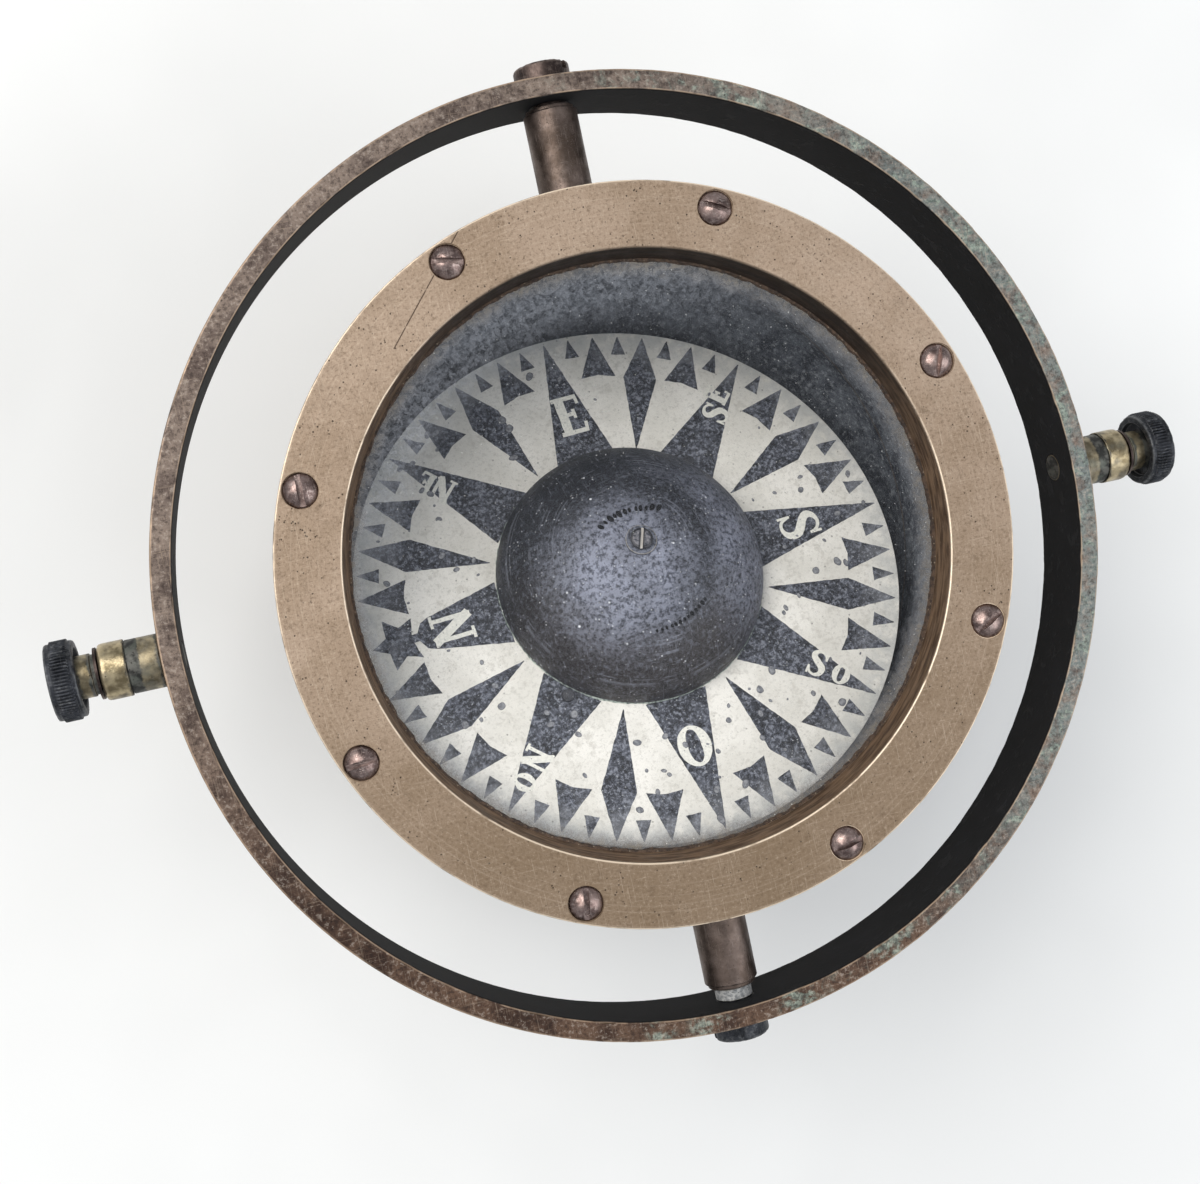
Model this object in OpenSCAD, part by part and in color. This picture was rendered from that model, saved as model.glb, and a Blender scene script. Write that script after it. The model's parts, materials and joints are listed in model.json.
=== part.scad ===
// Gimballed binnacle compass with a floating card.
//
// Frame: the origin is the gimbal centre, where both gimbal axes cross.  +X runs along the
// outer trunnions, +Y along the inner pivots and +Z is the axis of the gimbal ring, upwards.
// The bowl is drawn upright and then heeled in the ring, and the card is drawn about its own
// pivot point and then tipped on it, so both lie as they do when the compass is laid down.
// All sizes are in millimetres and all angles in degrees.

/* [Bezel and glass] */
// Outer diameter of the bezel
bezel_d = 180; // [178:1:184]
// Diameter of the bezel's opening at its top edge
opening_d = 148; // [140:1:148]
// Thickness of the bezel
bezel_t = 8; // [6:0.5:9]
// Height of the bezel's top face above the gimbal axes
bezel_top = 18; // [17:0.5:20]
// Thickness of the cover glass
glass_t = 5; // [4:0.5:5]
// Radius of the circle on which the bezel screws stand
screw_circle_r = 85; // [84.5:0.1:85.2]
// Diameter of a bezel screw's head
screw_head_d = 8.5; // [7:0.1:8.6]

/* [Bowl] */
// Inner radius of the bowl's wall
bowl_ri = 80; // [80:0.5:81]
// Thickness of the bowl's wall
bowl_wall = 3; // [2.5:0.5:3.5]
// Depth of the bowl's straight wall below the gimbal axes
wall_depth = 38; // [36:1:40]
// Depth of the bowl's rounded bottom
bottom_depth = 40; // [38:1:42]
// Radius of the housing under the bowl, which holds the expansion chamber
housing_r = 42; // [41:0.5:43]

/* [Gimbal ring] */
// Outer diameter of the gimbal ring
ring_d = 238; // [236:1:244]
// Radial thickness of the gimbal ring
ring_t = 5; // [4:0.5:5]
// Height of the gimbal ring
ring_h = 21; // [18:1:24]

/* [Inner pivots] */
// Diameter of a pivot boss on the bowl
boss_d = 13.5; // [12:0.1:13.5]
// Diameter of the pivot pins that the bowl hangs on
pivot_pin_d = 8; // [7:0.1:8.4]
// Diameter of an inner pivot screw's head
pivot_head_d = 14; // [12:0.5:16]
// Height of an inner pivot screw's head
pivot_head_h = 5; // [4:0.5:6]

/* [Outer trunnions] */
// Diameter of the bearing bush
bush_d = 13.6; // [12:0.1:15]
// Length of the bearing bush
bush_l = 14; // [12:0.5:18]
// Diameter of the trunnion screw where it turns in the bush
trunnion_d = 7; // [6:0.1:8]
// Diameter of the neck between the bush and the knob
neck_d = 10.3; // [9:0.1:12]
// Diameter of the knurled knob
knob_d = 19.3; // [17:0.1:22]
// Number of teeth in the straight knurl
knurl_teeth = 72; // [48:4:80]

/* [Compass card] */
// Diameter of the compass card
card_d = 145.6; // [143:0.2:146]
// Radius of the float dome at the card
float_r = 35.5; // [34:0.5:36]
// Height of the float dome above the card
float_h = 24; // [23:0.5:26]
// Height of the pivot point above the card
pivot_rise = 13; // [12:0.5:14]

/* [Attitude at rest] */
// Heel of the bowl in the gimbal ring, about the inner pivots
bowl_heel = 4.5; // [0:0.5:10]
// Tilt of the card on its pivot, out of the bowl's own plane
card_tilt = 21.5; // [0:0.5:21.5]
// Direction in which the card dips, measured from +X towards +Y
dip_bearing = 81; // [0:1:360]
// Direction of the card's north point, measured from +X towards +Y
north_bearing = 185; // [0:1:360]

/* [Hidden] */
$fn = 96;

// Running clearance between a shaft and its hole, on the radius
run = 0.05;
// Gap between neighbouring faces that move past each other
gap = 0.3;
// Overlap by which a cutter passes the face that it cuts
eps = 1;

// Levels in the bowl, measured from the gimbal axes
glass_top = bezel_top - bezel_t - 1;
glass_low = glass_top - glass_t;
seat_top = glass_low - 1.5;
flange_top = bezel_top - bezel_t;
flange_low = flange_top - 3;
bowl_ro = bowl_ri + bowl_wall;
collar_r = bowl_ro + 2;
seat_r = bowl_ri - 4;
glass_r = bowl_ri + 0.5;
bowl_floor = -wall_depth - bottom_depth + 0.5;
shell_low = bowl_floor - bowl_wall - 0.5;
// Angle of the bowl's outer arc at which it meets the flat bottom
bottom_arc = asin((-wall_depth - shell_low) / (bottom_depth + bowl_wall));
housing_low = shell_low - 13;
housing_ri = housing_r - 5;
cap_low = housing_low - 3;
ballast_low = cap_low - 8;
bezel_r = bezel_d / 2;
bezel_ri = opening_d / 2;
bezel_taper = 1.4;
head_r = screw_head_d / 2;
head_recess = 0.5;
head_dome_h = 2.4;
// Radii of the plain shanks and studs, shared with the holes that they fill
bezel_shank_r = 2;
cap_shank_r = 1.5;
ballast_shank_r = 2.5;
stud_r = 3;
plug_r = 4;
needle_r = 0.9;
rivet_shank_r = 0.9;
apex_shank_r = 1.5;
// How far each bezel screw stands off its even 45 degree place, and how its slot lies
screw_drift = [-0.2, 0.4, 1, 0.3, 0.6, -0.6, -0.2, -0.3];
slot_angles = [73, -27, -12, 90, 6, 81, 10, 28];
// How the apex screw's slot lies, in degrees from the card's north
apex_slot_angle = 67;

ring_ro = ring_d / 2;
ring_ri = ring_ro - ring_t;
// Ends of the two bosses; the front one leaves room for the spacer collar
boss_end_back = ring_ri - 0.8;
boss_end_front = ring_ri - 3.5;
boss_bore_floor = boss_end_front - 12;
pivot_shank_r = 5;

trunnion_r = trunnion_d / 2;
bush_start = ring_ro + gap;
bush_end = bush_start + bush_l;
washer_start = bush_end + gap;
washer_t = 0.6;
neck_start = washer_start + washer_t;
neck_l = 5.4;
knob_start = neck_start + neck_l;
knob_t = 6.6;
knob_r = knob_d / 2;
knob_dish = 1.4;

// Levels on the card, measured from its pivot point
card_r = card_d / 2;
card_t = 0.6;
card_top = -pivot_rise;
card_low = card_top - card_t;
float_skin = 0.8;
flange_t = 0.6;
float_flange_r = 41.5;
float_low = -22;
well_r = 14.5;
well_top_r = 5;
dome_top = card_top + float_h;
rivet_r = 37.6;
magnet_off = 18;
magnet_r = 2.5;
magnet_l = 52;
strip_t = 0.8;
magnet_z = float_low - strip_t - magnet_r;

// The raised edge of the tipped card stops just below the glass
card_clear = 0.6;
pivot_z = glass_low - card_clear - card_r * sin(card_tilt) + pivot_rise * cos(card_tilt);

// ---- helpers -------------------------------------------------------------------------

// Points along an elliptical arc about (0, z0) in the plane of a turned profile
function elliptic(rx, rz, z0, a0, a1, n = 12) =
    [for (i = [0:n]) let(a = a0 + (a1 - a0) * i / n) [rx * cos(a), z0 + rz * sin(a)]];

// Rectangle with its four corners broken by c, for turned rings
function broken_rect(r0, r1, z0, z1, c) = [
    [r0 + c, z0], [r1 - c, z0], [r1, z0 + c], [r1, z1 - c],
    [r1 - c, z1], [r0 + c, z1], [r0, z1 - c], [r0, z0 + c]
];

// Plain tube from z0 to z1
module tube(ri, ro, z0, z1) {
    rotate_extrude() polygon([[ri, z0], [ro, z0], [ro, z1], [ri, z1]]);
}

// Plain rod from z0 to z1
module rod(r, z0, z1) {
    translate([0, 0, z0]) cylinder(r = r, h = z1 - z0);
}

// Moves a piece drawn in the upright bowl to where the bowl lies in the ring
module in_bowl() {
    rotate([0, -bowl_heel, 0]) children();
}

// Moves a piece drawn about the pivot point to where the tipped card lies
module on_pivot() {
    in_bowl() translate([0, 0, pivot_z])
        rotate(a = card_tilt, v = [-sin(dip_bearing), cos(dip_bearing), 0])
        children();
}

// Moves a piece drawn with north along +X to its place on the tipped card
module on_card() {
    on_pivot() rotate([0, 0, north_bearing]) children();
}

// Turns a piece drawn along +Z to lie along +X (side 1) or -X (side -1)
module along_x(side) {
    rotate([0, side * 90, 0]) children();
}

// Turns a piece drawn along +Z to lie along +Y (side 1) or -Y (side -1)
module along_y(side) {
    rotate([-side * 90, 0, 0]) children();
}

// Repeats a piece at the places of the eight bezel screws; turn gives each its own slot
module at_bezel_screws(turn = false) {
    for (i = [0:7]) {
        angle = 22.5 + 45 * i + screw_drift[i];
        rotate([0, 0, angle]) translate([screw_circle_r, 0, 0])
            rotate([0, 0, turn ? slot_angles[i] - angle : 0]) children();
    }
}

// Repeats a piece at the places of the six screws of the bottom cap
module at_cap_screws() {
    for (i = [0:5]) rotate([0, 0, 60 * i]) translate([(housing_r + housing_ri) / 2, 0, 0]) children();
}

// Moves a piece drawn along +Z to the radial filler hole in the bowl's wall
filler_angle = 45;
filler_z = -25;
module at_filler() {
    rotate([0, 0, filler_angle]) translate([0, 0, filler_z]) rotate([0, 90, 0]) children();
}

// ---- bearing bushes, held by the binnacle ----------------------------------------------

module trunnion_bush(side) {
    color("#a8905a") along_x(side) difference() {
        rotate_extrude() polygon([
            [0, bush_start], [bush_d / 2, bush_start], [bush_d / 2, bush_end - 0.8],
            [bush_d / 2 - 0.8, bush_end], [0, bush_end]
        ]);
        rod(trunnion_r + run, bush_start - eps, bush_end + eps);
    }
}

// ---- gimbal ring and what turns with it -------------------------------------------------

spot_depth = 0.3;

module gimbal_ring() {
    color("#7a6656") difference() {
        rotate_extrude($fn = 180)
            polygon(broken_rect(ring_ri, ring_ro, -ring_h / 2, ring_h / 2, 0.4));
        along_x(1) rod(trunnion_r + run, -ring_ro - eps, ring_ro + eps);
        along_y(1) rod(pivot_shank_r, -ring_ro - eps, ring_ro + eps);
        for (side = [-1, 1])
            along_y(side) rod(pivot_head_d / 2 + 0.3, ring_ro - spot_depth, ring_ro + eps);
    }
}

// Slotted screw whose plain end is the pivot pin; slot_angle is how its slot lies, about its axis
module pivot_screw(side, slot_angle) {
    seat = ring_ro - spot_depth;
    top = seat + pivot_head_h;
    tip = boss_bore_floor + 1.5;
    hr = pivot_head_d / 2;
    pin_r = pivot_pin_d / 2;
    color("#6b5548") along_y(side) difference() {
        rotate_extrude() polygon([
            [0, tip], [pin_r - 0.8, tip], [pin_r, tip + 0.8], [pin_r, ring_ri],
            [pivot_shank_r, ring_ri], [pivot_shank_r, seat], [hr, seat],
            [hr, top - 0.7], [hr - 0.7, top], [0, top]
        ]);
        rotate([0, 0, slot_angle]) translate([-hr - eps, -0.9, top - 2.2])
            cube([2 * hr + 2 * eps, 1.8, 3.2]);
    }
}

module spacer_collar_front() {
    pin_r = pivot_pin_d / 2;
    color("#b9b6ae") along_y(-1)
        rotate_extrude() polygon(broken_rect(pin_r, pin_r + 0.7, boss_end_front + 0.4, ring_ri - 0.3, 0.15));
}

// ---- trunnion screws, slackened by hand -------------------------------------------------

module thrust_washer(side) {
    color("#8a7550") along_x(side)
        tube(trunnion_r + run, bush_d / 2 - 0.6, washer_start, neck_start);
}

module trunnion_screw(side) {
    color("#6d5f45") along_x(side) union() {
        rod(trunnion_r, ring_ri, neck_start);
        rod(neck_d / 2, neck_start, knob_start);
        rod(trunnion_r, knob_start, knob_start + knob_t - 2);
    }
}

// Knob with a straight knurl between two turned lips; its inner face is dished round the neck
module knurled_knob(side) {
    lip_r = knob_r - 0.5;
    lip_t = 1.2;
    inner = knob_start - knob_dish;
    outer = knob_start + knob_t - knob_dish;
    knurl = [for (i = [0:2 * knurl_teeth - 1]) let(r = i % 2 == 0 ? knob_r : knob_r - 0.45,
        a = 180 * i / knurl_teeth) [r * cos(a), r * sin(a)]];
    color("#3a342f") along_x(side) difference() {
        union() {
            translate([0, 0, inner + lip_t]) linear_extrude(outer - inner - 2 * lip_t)
                polygon(knurl);
            rotate_extrude() polygon([
                [0, inner], [lip_r - 0.7, inner], [lip_r, inner + 0.7],
                [lip_r, outer - 0.7], [lip_r - 0.7, outer], [0, outer]
            ]);
        }
        rod(lip_r - 1.8, inner - eps, knob_start);
        rod(trunnion_r, knob_start - eps, knob_start + knob_t - 2);
    }
}

// ---- bowl -------------------------------------------------------------------------------

// Four ports let the liquid through the bowl's floor into the expansion chamber
port_r = 2;
port_off = 22;

// Spun bowl with a flange and glass seat; its bottom is flat under the expansion chamber
module bowl_shell() {
    color("#6f6250") in_bowl() difference() {
        union() {
            rotate_extrude() polygon(concat(
                [[seat_r, seat_top - 2.5], [seat_r, seat_top], [glass_r + 0.5, seat_top],
                 [glass_r + 0.5, flange_top], [bezel_r - 1, flange_top], [bezel_r - 1, flange_low],
                 [collar_r, flange_low], [collar_r, -10], [bowl_ro, -12]],
                elliptic(bowl_ro, bottom_depth + bowl_wall, -wall_depth, 0, -bottom_arc),
                [[0, shell_low], [0, bowl_floor], [12, bowl_floor]],
                elliptic(bowl_ri, bottom_depth, -wall_depth, -acos(12.6 / bowl_ri), 0),
                [[bowl_ri, seat_top - 6.5]]
            ));
            at_filler() rod(9, bowl_ri + 1, bowl_ro + 3);
        }
        at_bezel_screws() rod(bezel_shank_r, flange_low - eps, flange_top + eps);
        at_filler() rod(plug_r, bowl_ri - 5, bowl_ro + 5);
        rod(stud_r, shell_low - eps, bowl_floor + eps);
        for (i = [0:3]) rotate([0, 0, 45 + 90 * i]) translate([port_off, 0, 0])
            rod(port_r, shell_low - eps, bowl_floor + 6);
    }
}

// Short housing brazed under the bowl, with a step for the diaphragm
module chamber_housing() {
    step_r = housing_ri - 2.5;
    color("#6f6250") in_bowl() difference() {
        rotate_extrude() polygon([
            [housing_r, housing_low], [housing_r, shell_low + 4], [step_r, shell_low + 4],
            [step_r, housing_low + 5], [housing_ri, housing_low + 5], [housing_ri, housing_low]
        ]);
        bowl_outside();
        at_cap_screws() rod(cap_shank_r, housing_low - eps, housing_low + 4);
    }
}

// The bowl's outer surface below its wall, as a solid
module bowl_outside() {
    rotate_extrude() polygon(concat(
        [[0, -wall_depth]], elliptic(bowl_ro, bottom_depth + bowl_wall, -wall_depth, 0, -bottom_arc),
        [[0, shell_low]]
    ));
}

module pivot_boss(side, end) {
    r = boss_d / 2;
    color("#8b7358") in_bowl() difference() {
        along_y(side) rotate_extrude() polygon([
            [0, bowl_ri], [r, bowl_ri], [r, end - 0.6], [r - 0.6, end], [0, end]
        ]);
        rod(collar_r, -2 * r, 2 * r);
        along_y(side) rod(pivot_pin_d / 2 + run, boss_bore_floor, end + eps);
    }
}

module lower_gasket() {
    color("#2b2622") in_bowl() tube(seat_r, glass_r, seat_top, glass_low);
}

module cover_glass() {
    color([0.75, 0.8, 0.78, 0.35]) in_bowl() rod(glass_r, glass_low, glass_top);
}

module upper_seal() {
    color("#1f1a16") in_bowl() tube(bezel_ri - bezel_taper - 0.6, glass_r, glass_top, flange_top);
}

module bezel_ring() {
    color("#a58c6e") in_bowl() difference() {
        rotate_extrude($fn = 180) polygon([
            [bezel_ri - bezel_taper, flange_top], [bezel_r - 0.4, flange_top],
            [bezel_r, flange_top + 0.4], [bezel_r, bezel_top - 0.5],
            [bezel_r - 0.5, bezel_top], [bezel_ri + 0.4, bezel_top], [bezel_ri, bezel_top - 0.4]
        ]);
        at_bezel_screws() union() {
            rod(bezel_shank_r, flange_top - eps, bezel_top);
            rod(head_r + 0.15, bezel_top - head_recess, bezel_top + eps);
        }
    }
}

// Round-headed slotted screws, one for each hole of the bezel
module bezel_screws() {
    cap_r = (head_r * head_r + head_dome_h * head_dome_h) / (2 * head_dome_h);
    seat = bezel_top - head_recess;
    color("#6e5a55") in_bowl() at_bezel_screws(turn = true) difference() {
        union() {
            intersection() {
                translate([0, 0, seat + head_dome_h - cap_r]) sphere(r = cap_r);
                rod(head_r, seat, seat + head_dome_h + eps);
            }
            rod(bezel_shank_r, flange_low + 0.3, seat);
        }
        translate([-head_r - eps, -0.65, seat + 0.9])
            cube([2 * head_r + 2 * eps, 1.3, head_dome_h]);
    }
}

module lubber_line() {
    wire_r = 0.8;
    color("#d8cfb4") in_bowl() translate([0, -(bowl_ri - wire_r), 0]) rod(wire_r, -32, -6);
}

module filler_washer() {
    color("#7c3f2a") in_bowl() at_filler() tube(plug_r, 7.5, bowl_ro + 3, bowl_ro + 4);
}

module filler_plug() {
    head_low = bowl_ro + 4;
    color("#8f7a54") in_bowl() at_filler() difference() {
        union() {
            rod(plug_r, bowl_ri, head_low);
            rod(6.5, head_low, head_low + 3);
        }
        translate([-8, -0.8, head_low + 1.5]) cube([16, 1.6, 3]);
    }
}

// Turned pillar on the bowl's floor; its stud passes through the floor to the nut
module pivot_pillar() {
    top = pivot_z - 8;
    color("#9c8450") in_bowl() difference() {
        rotate_extrude() polygon([
            [0, shell_low - 5], [stud_r, shell_low - 5], [stud_r, bowl_floor], [10, bowl_floor],
            [10, bowl_floor + 2.5], [4, bowl_floor + 5], [4, pivot_z - 14], [2.5, top - 2],
            [2.5, top], [0, top]
        ]);
        rod(needle_r, pivot_z - 12, top + eps);
    }
}

module pillar_nut() {
    color("#8a7348") in_bowl() difference() {
        translate([0, 0, shell_low - 4]) cylinder(r = 6.5, h = 4, $fn = 6);
        rod(stud_r, shell_low - 4 - eps, shell_low + eps);
    }
}

module pivot_needle() {
    color("#8c8f94") in_bowl() translate([0, 0, pivot_z])
        rotate_extrude() polygon([[0, -12], [needle_r, -12], [needle_r, -4.5], [0.05, -0.15], [0, -0.15]]);
}

// Thin corrugated disc that gives way as the liquid swells
module expansion_diaphragm() {
    sheet = 0.8;
    wave = 1.2;
    edge = housing_ri - 0.2;
    seat = housing_low + 5;
    waves = 3;
    steps = 8 * waves;
    flat_r = 28;
    start_r = 7;
    crest = [for (i = [0:steps]) [start_r + (flat_r - start_r) * i / steps,
        seat - sheet / 2 + wave * sin(360 * waves * i / steps)]];
    color("#b08d57") in_bowl() rotate_extrude() polygon(concat(
        [for (p = crest) [p[0], p[1] - sheet / 2]],
        [[edge, seat - sheet], [edge, seat]],
        [for (i = [0:steps]) let(p = crest[steps - i]) [p[0], p[1] + sheet / 2]],
        [[0, seat], [0, seat - sheet]]
    ));
}

module diaphragm_clamp() {
    color("#8a7348") in_bowl() tube(30, housing_ri - 0.2, housing_low, housing_low + 4.2);
}

module bottom_cap() {
    color("#6f6250") in_bowl() difference() {
        rotate_extrude() polygon([
            [0, cap_low], [housing_r - 0.8, cap_low], [housing_r, cap_low + 0.8], [housing_r, housing_low],
            [0, housing_low]
        ]);
        at_cap_screws() rod(cap_shank_r, cap_low - eps, housing_low + eps);
        rod(ballast_shank_r, cap_low - eps, housing_low + eps);
    }
}

module cap_screws() {
    color("#6e5a55") in_bowl() at_cap_screws() difference() {
        union() {
            rod(cap_shank_r, cap_low, housing_low + 4);
            rod(2.4, cap_low - 1.6, cap_low);
        }
        translate([-3, -0.4, cap_low - 1.6 - eps]) cube([6, 0.8, 1.8]);
    }
}

module ballast_weight() {
    ballast_r = 32;
    color("#5d6066") in_bowl() difference() {
        rotate_extrude() polygon([
            [0, ballast_low], [ballast_r - 2.5, ballast_low], [ballast_r, ballast_low + 2.5],
            [ballast_r, cap_low], [0, cap_low]
        ]);
        rod(ballast_shank_r, ballast_low - eps, cap_low + eps);
        rod(6, ballast_low - eps, ballast_low + 3);
    }
}

module ballast_screw() {
    color("#6e5a55") in_bowl() difference() {
        union() {
            rod(ballast_shank_r, ballast_low + 3, housing_low);
            rod(5, ballast_low, ballast_low + 3);
        }
        translate([-6, -0.7, ballast_low - eps]) cube([12, 1.4, 2.2]);
    }
}

// ---- jewel, which tips on the needle ----------------------------------------------------

cup_r = 3.5;
cup_top = 5;
jewel_r = 1.5;
jewel_top = 1.6;

module jewel_cup() {
    color("#b3975a") on_pivot() difference() {
        rod(cup_r, -1, cup_top);
        rod(jewel_r, -1 - eps, jewel_top);
    }
}

module jewel() {
    color("#8fb0d8") on_pivot() difference() {
        rod(jewel_r, -1, jewel_top);
        translate([0, 0, -1.2]) cylinder(r1 = 1.44, r2 = 0, h = 1.2);
    }
}

// ---- card, which spins on the jewel -----------------------------------------------------

module float_dome() {
    color("#3a3b42") on_card() difference() {
        rotate_extrude() polygon(concat(
            elliptic(float_r, float_h, card_top, 0, 90, 16),
            [for (i = [0:16]) let(a = 90 - 90 * i / 16)
                [(float_r - float_skin) * cos(a), card_top + (float_h - float_skin) * sin(a)]],
            [[float_r - float_skin, card_low - flange_t], [float_flange_r, card_low - flange_t],
             [float_flange_r, card_low], [float_r, card_low]]
        ));
        rod(apex_shank_r, dome_top - 3, dome_top + eps);
        for (side = [-1, 1]) rivet_place(side) rod(rivet_shank_r, card_low - 3, card_top + eps);
    }
}

// Places a rivet north-west (1) or south-east (-1) of the card's centre
module rivet_place(side) {
    rotate([0, 0, side == 1 ? 45 : 225]) translate([rivet_r, 0, 0]) children();
}

// Pan that closes the float, with a conical well for the pillar
module float_base() {
    rim = card_low - flange_t;
    skin = 0.6;
    color("#34353b") on_card() difference() {
        rotate_extrude() polygon([
            [float_flange_r - 0.5, rim], [float_flange_r - 0.5, rim - skin], [34, rim - skin],
            [22, float_low], [well_r, float_low], [well_top_r, -2.5], [well_top_r, -1],
            [well_top_r + skin, -1], [well_top_r + skin, -2.4], [well_r + 0.5, float_low + skin],
            [21.8, float_low + skin], [33.7, rim]
        ]);
        for (side = [-1, 1]) rivet_place(side) rod(rivet_shank_r, rim - 2, rim + eps);
    }
}

module spindle_socket() {
    color("#9c8450") on_card() difference() {
        rod(well_top_r, -1, dome_top - float_skin - 0.4);
        rod(cup_r + run, -1 - eps, cup_top + 0.1);
        rod(apex_shank_r, cup_top + 1.5, dome_top);
    }
}

module apex_washer() {
    color("#5b4a3c") on_card() tube(1.6, 4, dome_top, dome_top + 0.6);
}

module apex_screw() {
    seat = dome_top + 0.6;
    color("#6e5a45") on_card() difference() {
        union() {
            rod(apex_shank_r, cup_top + 2, seat);
            rotate_extrude() polygon([[0, seat], [2.8, seat], [2.8, seat + 0.9],
                [2.3, seat + 1.3], [0, seat + 1.3]]);
        }
        rotate([0, 0, apex_slot_angle]) translate([-4, -0.4, seat + 0.6]) cube([8, 0.8, 2]);
    }
}

module compass_card() {
    color("#e3dfcc") on_card() difference() {
        rotate_extrude($fn = 180) polygon([
            [float_r + 0.1, card_low], [card_r, card_low], [card_r, card_top], [float_r + 0.1, card_top]
        ]);
        for (side = [-1, 1]) rivet_place(side) rod(rivet_shank_r, card_low - eps, card_top + eps);
    }
}

module card_rivets() {
    low = card_low - flange_t - 0.6;
    color("#57544f") on_card() for (side = [-1, 1]) rivet_place(side) union() {
        rod(rivet_shank_r, low, card_top);
        rotate_extrude() polygon([[0, card_top], [1.8, card_top], [1.5, card_top + 0.5],
            [0, card_top + 0.7]]);
        rod(1.6, low - 0.5, low);
    }
}

// Two cross strips under the float, with a saddle for each end of each magnet
module magnet_cradle() {
    strip_x = 19;
    saddle_w = 5;
    color("#8a7348") on_card() difference() {
        for (x = [-strip_x, strip_x]) {
            translate([x - 2.5, -magnet_off - 4, float_low - strip_t])
                cube([5, 2 * magnet_off + 8, strip_t]);
            for (y = [-magnet_off, magnet_off])
                translate([x - saddle_w / 2, y - 4, magnet_z - magnet_r - 0.8])
                    cube([saddle_w, 8, 2 * magnet_r + 0.8 + strip_t / 2]);
        }
        for (y = [-magnet_off, magnet_off])
            translate([0, y, magnet_z]) rotate([0, 90, 0]) rod(magnet_r, -magnet_l, magnet_l);
    }
}

module magnet_bar(side) {
    color("#4b4e55") on_card() translate([0, side * magnet_off, magnet_z])
        rotate([0, 90, 0]) rod(magnet_r, -magnet_l / 2, magnet_l / 2);
}

trunnion_bush(1);  // trunnion_bush_right
trunnion_bush(-1);  // trunnion_bush_left
gimbal_ring();
pivot_screw(1, -45);  // pivot_screw_back
pivot_screw(-1, 0);  // pivot_screw_front
spacer_collar_front();
thrust_washer(1);  // thrust_washer_right
thrust_washer(-1);  // thrust_washer_left
trunnion_screw(1);  // trunnion_screw_right
trunnion_screw(-1);  // trunnion_screw_left
knurled_knob(1);  // knurled_knob_right
knurled_knob(-1);  // knurled_knob_left
bowl_shell();
chamber_housing();
pivot_boss(1, boss_end_back);  // pivot_boss_back
pivot_boss(-1, boss_end_front);  // pivot_boss_front
lower_gasket();
cover_glass();
upper_seal();
bezel_ring();
bezel_screws();
lubber_line();
filler_plug();
filler_washer();
pivot_pillar();
pillar_nut();
pivot_needle();
expansion_diaphragm();
diaphragm_clamp();
bottom_cap();
cap_screws();
ballast_weight();
ballast_screw();
jewel_cup();
jewel();
float_dome();
float_base();
spindle_socket();
apex_washer();
apex_screw();
compass_card();
card_rivets();
magnet_cradle();
magnet_bar(-1);  // magnet_bar_east
magnet_bar(1);  // magnet_bar_west
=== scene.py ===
"""Looks of the gimballed binnacle compass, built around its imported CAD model.

Pieces are drawn in millimetres in one of three frames and then placed: RING (the gimbal
ring's own, which is the row frame), BOWL (heeled in the ring) and CARD (tipped on its
pivot, with north along +X and clockwise angles negative).
"""

import json
import math
from functools import reduce

import bmesh
import bpy
import numpy as np
from mathutils import Matrix, Vector, noise


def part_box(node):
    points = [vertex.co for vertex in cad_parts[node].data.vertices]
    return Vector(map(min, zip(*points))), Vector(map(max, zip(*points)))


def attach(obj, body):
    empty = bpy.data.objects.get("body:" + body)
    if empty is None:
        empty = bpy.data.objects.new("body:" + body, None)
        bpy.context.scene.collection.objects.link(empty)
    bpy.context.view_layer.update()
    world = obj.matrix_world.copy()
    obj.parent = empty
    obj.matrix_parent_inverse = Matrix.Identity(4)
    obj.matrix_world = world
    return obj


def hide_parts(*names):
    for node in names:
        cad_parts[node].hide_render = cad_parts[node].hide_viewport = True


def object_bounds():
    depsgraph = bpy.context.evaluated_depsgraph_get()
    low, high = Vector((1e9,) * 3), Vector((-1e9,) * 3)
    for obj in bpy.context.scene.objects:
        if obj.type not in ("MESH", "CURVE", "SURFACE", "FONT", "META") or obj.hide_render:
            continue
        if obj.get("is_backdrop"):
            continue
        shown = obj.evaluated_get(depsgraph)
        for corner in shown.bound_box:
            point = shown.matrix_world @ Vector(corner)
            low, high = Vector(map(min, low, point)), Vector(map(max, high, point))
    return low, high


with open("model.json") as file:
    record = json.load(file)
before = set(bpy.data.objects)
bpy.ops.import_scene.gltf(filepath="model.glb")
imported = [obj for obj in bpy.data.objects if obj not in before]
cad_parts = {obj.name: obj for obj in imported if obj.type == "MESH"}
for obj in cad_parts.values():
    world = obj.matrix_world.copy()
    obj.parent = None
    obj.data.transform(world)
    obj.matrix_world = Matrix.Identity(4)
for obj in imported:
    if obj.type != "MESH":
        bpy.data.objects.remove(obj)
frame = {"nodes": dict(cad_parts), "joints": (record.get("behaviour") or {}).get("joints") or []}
cad_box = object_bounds()

MM = 0.001
TAU = 2 * math.pi
ON_AXIS = 1e-6
JOINTS = {joint["name"]: joint for joint in frame["joints"]}


# ---- frames and sizes read from the CAD model ----

def extent(node, place, axis=2):
    """Least and greatest radius of a CAD node about an axis of place, and its reach along it."""
    mesh = frame["nodes"][node].data
    points = np.zeros(3 * len(mesh.vertices))
    mesh.vertices.foreach_get("co", points)
    inverse = np.array(place.inverted())
    points = (points.reshape(-1, 3) @ inverse[:3, :3].T + inverse[:3, 3]) / MM
    radius = np.linalg.norm(np.delete(points, axis, axis=1), axis=1)
    along = points[:, axis]
    return radius.min(), radius.max(), along.min(), along.max()


def outward(node, side, axis, place):
    """A CAD node's radius about an axis, and its near and far ends on one side of the middle."""
    _, radius, low, high = extent(node, place, axis)
    return (radius, low, high) if side == 1 else (radius, -high, -low)


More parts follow.
